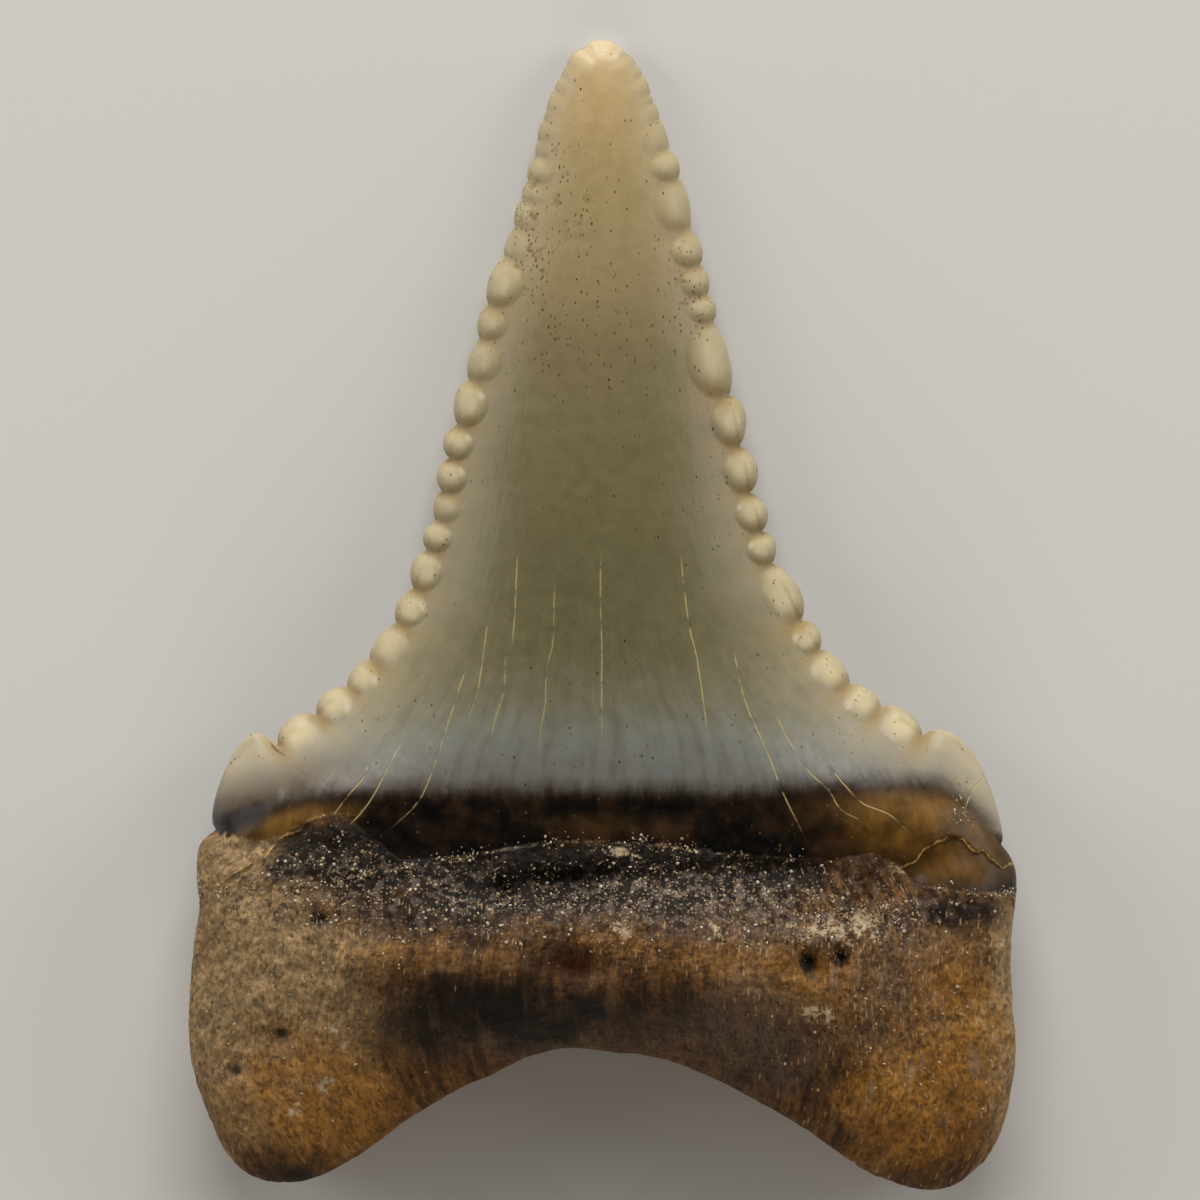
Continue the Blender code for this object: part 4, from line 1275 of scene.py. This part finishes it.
@dataclass
class FossilTooth:
    """The whole tooth: crown, dark band and root in one skin."""

    outline: Outline = Outline()
    heights: Heights = Heights()
    finish: ToothFinish = ToothFinish()
    margin_width: Pairs = (
        (13.1, 0.35), (9.0, 0.48), (3.7, 0.66), (0.3, 0.80), (-2.5, 1.05), (-4.4, 0.7), (-13.1, 0.5),
    )
    labial_inset: float = 1.2
    ridge_half_width: float = 0.10
    ridge_gap: tuple[float, float, float, float] = (4.2, 4.8, 7.0, 7.4)
    ridge_heap: Patch = Patch(8.15, -4.45, 0.25, 0.40, 1.0)
    low_root_y: tuple[float, float] = (-6.4, -8.0)
    margin_power: float = 1.2
    labial_cracks: float = 0.6
    smooth_rim: tuple[float, float] = (0.35, 0.25)
    weathering: Sequence[tuple[float, float]] = ((0.9, 0.16), (3.2, 0.07), (8.0, 0.04))
    triangles: int = 188000
    upper_thinning: float = 0.25
    crack_steps: int = 80
    crack_reach: float = 0.3
    seed: float = 4.0

    def masks(self, plan: Plan, face: Face) -> dict[str, np.ndarray]:
        """Everything that the finishes read from the mesh, for one face.

        Args:
            plan: The grid that both faces share.
            face: Which face.

        Returns:
            One array over the grid for each mask.
        """
        x, y = plan.places[..., 0], plan.places[..., 1]
        heights = self.heights
        foot = along(heights.enamel_end, x)
        ledge = along(heights.band_end, x)
        if face is Face.LABIAL:
            inward = smoothstep(0, self.labial_inset, plan.edge)
            foot = foot + inward * (along(heights.labial_end, x) - foot)
            ledge = ledge + inward * (foot + 0.1 - ledge)
        stains = LINGUAL_STAINS if face is Face.LINGUAL else LABIAL_STAINS
        found = {stain.value: np.zeros_like(x) for stain in Stain}
        for stain, patches in stains.items():
            found[stain.value] = np.clip(sum(patch.spread(x, y) for patch in patches), 0, 1)
        found["across"], found["edge"] = plan.across, plan.edge
        found["bead"], found["under"] = np.clip(plan.bead, 0, 1), np.clip(plan.under, 0, 1)
        found["scar"] = heights.scarred(x, y)
        found["zone"], found["ledge"] = y - foot, y - ledge
        found["lip"] = y - np.interp(x, *np.array(heights.lip).T)
        found["glaze"] = y - np.interp(x, *np.array(heights.glaze_end).T)
        gap_start, gap_full, gap_closing, gap_end = self.ridge_gap
        gap = smoothstep(gap_start, gap_full, x) * (1 - smoothstep(gap_closing, gap_end, x))
        found["ridge"] = np.exp(-((found["ledge"] / self.ridge_half_width) ** 2)) * (1 - gap)
        found["ridge"] += self.ridge_heap.spread(x, y)
        found[Stain.GRAIN.value] *= smoothstep(0.1, -0.1, found["glaze"])
        found["margin"] = np.exp(-((plan.edge / along(self.margin_width, y)) ** self.margin_power))
        found["low_root"] = smoothstep(*self.low_root_y, y)
        found["crack"], found["crack_shown"] = self.cracks(x, y)
        if face is Face.LABIAL:
            found["crack_shown"] = self.labial_cracks * found["crack_shown"] * smoothstep(-5.0, -3.5, y)
            found["glaze"] = found["ledge"]
        rim_share, rim_width = self.smooth_rim
        inside = rim_share + (1 - rim_share) * smoothstep(0.0, rim_width, plan.edge)
        found["rough"] = smoothstep(0.03, -0.2, found["glaze"]) * inside
        return found

    def cracks(self, x: np.ndarray, y: np.ndarray) -> tuple[np.ndarray, np.ndarray]:
        """Signed distance to the nearest crack, and how strongly that one shows here.

        Args:
            x: Places across the tooth.
            y: Places along it.

        Returns:
            The distance in millimetres and the strength, which is 0 away from the crack.
        """
        nearest, shown, closest = np.ones_like(x), np.zeros_like(x), np.full(x.shape, self.crack_reach)
        share = np.linspace(0, 1, self.crack_steps)
        for crack in CRACKS:
            path = smooth_curve(crack.points, share)
            low, high = path.min(axis=0) - self.crack_reach, path.max(axis=0) + self.crack_reach
            near = (x > low[0]) & (x < high[0]) & (y > low[1]) & (y < high[1])
            gaps = np.column_stack([x[near], y[near]])[:, None] - path
            step = (gaps**2).sum(axis=2).argmin(axis=1)
            gap, way = gaps[np.arange(len(step)), step], np.gradient(path, axis=0)[step]
            way /= np.linalg.norm(way, axis=1)[:, None]
            away = way[:, 0] * gap[:, 1] - way[:, 1] * gap[:, 0]
            faded = smoothstep(0.0, 0.05, share[step]) * (1 - smoothstep(0.7, 1.0, share[step]))
            distance = np.hypot(*gap.T)
            faded *= 1 - smoothstep(0.10, 0.18, distance)
            closer = distance < closest[near]
            closest[near] = np.where(closer, distance, closest[near])
            nearest[near] = np.where(closer, away, nearest[near])
            shown[near] = np.where(closer, crack.strength * faded, shown[near])
        return nearest, shown

    def loft(self) -> bpy.types.Object:
        """The dense closed mesh of both faces, fitted to the frame's box, with its masks."""
        plan = Plan(self.outline)
        plan.lay()
        upper, lower = self.heights.lingual(plan), self.heights.labial(plan)
        over, under = self.masks(plan, Face.LINGUAL), self.masks(plan, Face.LABIAL)
        low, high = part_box("tooth")
        flat = plan.places.reshape(-1, 2)
        size = np.array(high[:2]) / MM - np.array(low[:2]) / MM
        middle = (np.array(high[:2]) + np.array(low[:2])) / (2 * MM)
        scale = size / (flat.max(axis=0) - flat.min(axis=0))
        grid = (plan.places - (flat.max(axis=0) + flat.min(axis=0)) / 2) * scale + middle
        rows, columns = upper.shape
        above = np.arange(rows * columns).reshape(rows, columns)
        below = above.copy()
        below[1:-1, 1:-1] = rows * columns + np.arange((rows - 2) * (columns - 2)).reshape(rows - 2, -1)
        roof, base = np.dstack([grid, upper]), np.dstack([grid, lower])[1:-1, 1:-1]
        points = [roof.reshape(-1, 3), base.reshape(-1, 3)]
        faces = []
        for index, order in ((above, 1), (below, -1)):
            corners = (index[:-1, :-1], index[1:, :-1], index[1:, 1:], index[:-1, 1:])
            faces.append(np.dstack(corners[::order]).reshape(-1, 4))
        shape = bpy.data.meshes.new("tooth_form")
        shape.from_pydata((np.vstack(points) * MM).tolist(), [], np.vstack(faces).tolist())
        for name in over:
            values = np.concatenate([over[name].ravel(), under[name][1:-1, 1:-1].ravel()])
            layer = shape.attributes.new(name, "FLOAT", "POINT")
            layer.data.foreach_set("value", values.astype(np.float32))
        made = bpy.data.objects.new("tooth_form", shape)
        group = made.vertex_groups.new(name="underside")
        group.add(list(range(rows * columns)), self.upper_thinning, "REPLACE")
        group.add(list(range(rows * columns, len(shape.vertices))), 1.0, "REPLACE")
        group.add(np.flatnonzero(over["crack_shown"].ravel() > 0).tolist(), 0.0, "REPLACE")
        self.merge_corners(shape, above)
        shape.shade_smooth()
        bpy.context.scene.collection.objects.link(made)
        return made

    def merge_corners(self, mesh: bpy.types.Mesh, index: np.ndarray) -> None:
        """Welds the grid's four corners to their neighbours, so that no two faces lie back to back."""
        shape = bmesh.new()
        shape.from_mesh(mesh)
        shape.verts.ensure_lookup_table()
        pairs = {}
        for row in (0, -1):
            for column, beside in ((0, 1), (-1, -2)):
                pairs[shape.verts[index[row, column]]] = shape.verts[index[row, beside]]
        bmesh.ops.weld_verts(shape, targetmap=pairs)
        shape.to_mesh(mesh)
        shape.free()

    def weather(self, material: bpy.types.Material) -> GeometryTree:
        """The tree that roughens the root's skin with noise of several sizes."""
        tree = GeometryTree("weathered_skin")
        seed = tree.number("Seed", self.seed)
        place = tree.place()
        total = None
        for index, (scale, height) in enumerate(self.weathering):
            made = tree.node("ShaderNodeTexNoise", noise_dimensions="4D")
            tree.plug(made.inputs["Vector"], place)
            tree.plug(made.inputs["W"], seed)
            tree.plug(made.inputs["Scale"], tree.number(f"Repeats {index + 1}", scale))
            made.inputs["Detail"].default_value = 2.0
            swing = tree.times(tree.minus(made.outputs[0], 0.5), 2 * MM)
            part = tree.times(swing, tree.number(f"Height {index + 1}", height))
            total = part if total is None else tree.plus(total, part)
        total = tree.times(total, tree.mask("rough"))
        lift = tree.node("ShaderNodeVectorMath", operation="SCALE")
        tree.plug(lift.inputs[0], tree.node("GeometryNodeInputNormal").outputs[0])
        tree.plug(lift.inputs["Scale"], total)
        parts = tree.node("ShaderNodeSeparateXYZ")
        spot = tree.vector("ADD", tree.node("GeometryNodeInputPosition").outputs[0], lift.outputs[0])
        tree.plug(parts.inputs[0], spot)
        height = tree.math("MAXIMUM", parts.outputs[2], 0.0)
        moved = tree.node("GeometryNodeSetPosition")
        tree.plug(moved.inputs["Geometry"], tree.entry.outputs["Geometry"])
        tree.plug(moved.inputs["Position"], tree.joined(parts.outputs[0], parts.outputs[1], height))
        tree.close(moved.outputs["Geometry"], material)
        return tree

    def build(self) -> bpy.types.Object:
        """The finished tooth."""
        form = self.loft()
        dense = 2 * len(form.data.polygons)
        self.weather(self.finish.make()).add_to(form)
        thin = form.modifiers.new("thin", "DECIMATE")
        thin.ratio = self.triangles / dense
        thin.vertex_group = "underside"
        made = baked(form, "fossil_tooth")
        made.data.shade_smooth()
        LOG.info("tooth: %d triangles out of %d", len(made.data.polygons), dense)
        return made


@dataclass
class Grains:
    """Small mineral grains seated in the tooth's skin, scattered by a mask."""

    name: str
    mask: str
    density: float
    smallest: float
    largest: float
    palest: float
    seed: int
    rarity: float = 1.5
    full_turn: float = 6.28
    flattest: float = 0.45
    longest: float = 1.5
    size_rarity: float = 2.2

    def tree(self, material: bpy.types.Material) -> GeometryTree:
        """The tree that scatters the grains over the skin it is given."""
        tree = GeometryTree(self.name)
        seed = tree.number("Seed", self.seed, "NodeSocketInt")
        density = tree.number("Density", self.density)
        smallest, largest = tree.number("Smallest", self.smallest), tree.number("Largest", self.largest)
        spots = tree.node("GeometryNodeDistributePointsOnFaces")
        tree.plug(spots.inputs["Mesh"], tree.entry.outputs["Geometry"])
        clusters = tree.span(tree.noise(tree.place(), 1.6, 3.0), 0.35, 0.62)
        clumps = tree.plus(0.12, tree.span(tree.noise(tree.place(), 5.0, 3.0), 0.47, 0.60))
        clusters = tree.times(clusters, clumps)
        chosen = tree.times(tree.mask(self.mask), clusters)
        per_area = tree.math("DIVIDE", tree.times(density, chosen), MM * MM)
        tree.plug(spots.inputs["Density"], per_area)
        tree.plug(spots.inputs["Seed"], seed)
        tone = tree.node("GeometryNodeStoreNamedAttribute", data_type="FLOAT", domain="POINT")
        tree.plug(tone.inputs["Geometry"], spots.outputs["Points"])
        tone.inputs["Name"].default_value = "tone"
        picked = tree.math("POWER", self.random(tree, "FLOAT", 0.0, 1.0, 1), self.rarity)
        tree.plug(tone.inputs["Value"], tree.times(picked, self.palest))
        ball = tree.node("GeometryNodeMeshIcoSphere")
        ball.inputs["Radius"].default_value = MM
        ball.inputs["Subdivisions"].default_value = 1
        placed = tree.node("GeometryNodeInstanceOnPoints")
        tree.plug(placed.inputs["Points"], tone.outputs["Geometry"])
        tree.plug(placed.inputs["Instance"], ball.outputs["Mesh"])
        turn = self.random(tree, "FLOAT_VECTOR", (0, 0, 0), (self.full_turn,) * 3, 2)
        tree.plug(placed.inputs["Rotation"], turn)
        shape = self.random(tree, "FLOAT_VECTOR", (self.flattest,) * 3, (self.longest,) * 3, 3)
        size = tree.node("ShaderNodeMapRange")
        skew = tree.math("POWER", self.random(tree, "FLOAT", 0.0, 1.0, 4), self.size_rarity)
        tree.plug(size.inputs["Value"], skew)
        tree.plug(size.inputs["To Min"], smallest)
        tree.plug(size.inputs["To Max"], largest)
        scaled = tree.node("ShaderNodeVectorMath", operation="SCALE")
        tree.plug(scaled.inputs[0], shape)
        tree.plug(scaled.inputs["Scale"], size.outputs["Result"])
        tree.plug(placed.inputs["Scale"], scaled.outputs[0])
        tree.close(placed.outputs["Instances"], material)
        return tree

    def random(self, tree: GeometryTree, kind: str, low: Any, high: Any, seed: int) -> Socket:
        """A random number or vector for each grain."""
        made = tree.node("FunctionNodeRandomValue", data_type=kind)
        offset = 0 if kind == "FLOAT_VECTOR" else 2
        made.inputs[offset].default_value = low
        made.inputs[offset + 1].default_value = high
        made.inputs["Seed"].default_value = seed + self.seed
        return next(output for output in made.outputs if output.enabled)

    def build(self, skin: bpy.types.Object, material: bpy.types.Material) -> bpy.types.Object:
        """Scatters the grains on a copy of the skin and makes them one plain mesh.

        Args:
            skin: The tooth.
            material: The grains' material.

        Returns:
            The grains.
        """
        base = bpy.data.objects.new(self.name + "_base", skin.data.copy())
        bpy.context.scene.collection.objects.link(base)
        self.tree(material).add_to(base)
        made = baked(base, self.name)
        LOG.info("%s: %d triangles", self.name, len(made.data.polygons))
        return made


@dataclass(frozen=True)
class Lamp:
    """One soft light panel: where it hangs, what it faces, its side and its power."""

    name: str
    place: tuple[float, float, float]
    target: tuple[float, float, float]
    size: float
    power: float
    colour: tuple[float, float, float] = (1.0, 1.0, 1.0)

    def build(self) -> None:
        """Hangs the panel and turns it to its target."""
        light = bpy.data.lights.new(self.name, "AREA")
        light.shape = "SQUARE"
        light.size = self.size
        light.energy = self.power
        light.color = self.colour
        lamp = bpy.data.objects.new(self.name, light)
        lamp.location = self.place
        facing = Vector(self.target) - Vector(self.place)
        lamp.rotation_euler = facing.to_track_quat("-Z", "Y").to_euler()
        bpy.context.scene.collection.objects.link(lamp)


@dataclass(frozen=True)
class Studio:
    """Pale floor, soft light from the tip's side, and a camera looking straight down."""

    floor_half: float = 1.5
    frame_width: float = 27.27
    frame_middle: tuple[float, float] = (-0.06, 0.31)
    focus_height: float = 1.5
    lens: float = 400.0
    sensor: float = 36.0
    sky: tuple[float, float, float, float] = (0.84, 0.82, 0.79, 1.0)
    sky_strength: float = 0.10
    lamps: tuple[Lamp, ...] = (
        Lamp("key_panel", (0.0, 0.34, 0.15), (0.0, 0.0, 0.0), 0.26, 1.8, (1.0, 0.99, 0.97)),
        Lamp("left_panel", (-0.30, 0.10, 0.12), (0.0, 0.0, 0.0), 0.18, 0.38),
        Lamp("right_panel", (0.30, 0.10, 0.12), (0.0, 0.0, 0.0), 0.18, 0.38),
        Lamp("near_panel", (0.0, -0.30, 0.12), (0.0, 0.0, 0.0), 0.20, 0.32, (1.0, 0.86, 0.70)),
    )

    def build(self) -> None:
        """Sets up the floor, the lights and the camera."""
        scene = bpy.context.scene
        scene.view_settings.view_transform = "Standard"
        self.floor()
        for lamp in self.lamps:
            lamp.build()
        world = bpy.data.worlds.new("studio")
        world.use_nodes = True
        sky = world.node_tree.nodes["Background"]
        sky.inputs["Color"].default_value = self.sky
        sky.inputs["Strength"].default_value = self.sky_strength
        scene.world = world
        camera = bpy.data.cameras.new("camera")
        camera.lens = self.lens
        camera.sensor_width = self.sensor
        camera.clip_start = MM
        eye = bpy.data.objects.new("camera", camera)
        distance = self.lens * self.frame_width / self.sensor + self.focus_height
        eye.location = (self.frame_middle[0] * MM, self.frame_middle[1] * MM, distance * MM)
        scene.collection.objects.link(eye)
        scene.camera = eye

    def floor(self) -> None:
        """The floor, just under the tooth."""
        shape = bmesh.new()
        bmesh.ops.create_grid(shape, x_segments=8, y_segments=8, size=self.floor_half)
        mesh = bpy.data.meshes.new("floor")
        shape.to_mesh(mesh)
        shape.free()
        mesh.materials.append(FloorFinish().make())
        floor = bpy.data.objects.new("floor", mesh)
        bpy.context.scene.collection.objects.link(floor)
        floor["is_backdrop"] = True


def corners() -> list[list[float]]:
    """The shown object's lowest and highest corner, as plain lists."""
    return [list(corner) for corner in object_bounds()]


def main() -> None:
    """Builds the tooth, its grains and the studio."""
    logging.basicConfig(level=logging.INFO, format="%(name)s: %(message)s")
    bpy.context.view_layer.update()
    tooth = FossilTooth().build()
    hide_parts("tooth")
    grain = GrainFinish().make()
    root_grains = Grains("root_grains", Stain.GRAIN.value, 420.0, 0.010, 0.042, 1.0, 3).build(tooth, grain)
    ridge_grains = Grains("ridge_grains", "ridge", 800.0, 0.010, 0.036, 1.0, 11).build(tooth, grain)
    for piece in (tooth, root_grains, ridge_grains):
        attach(piece, "root")
    Studio().build()


if __name__ == "__main__":
    main()
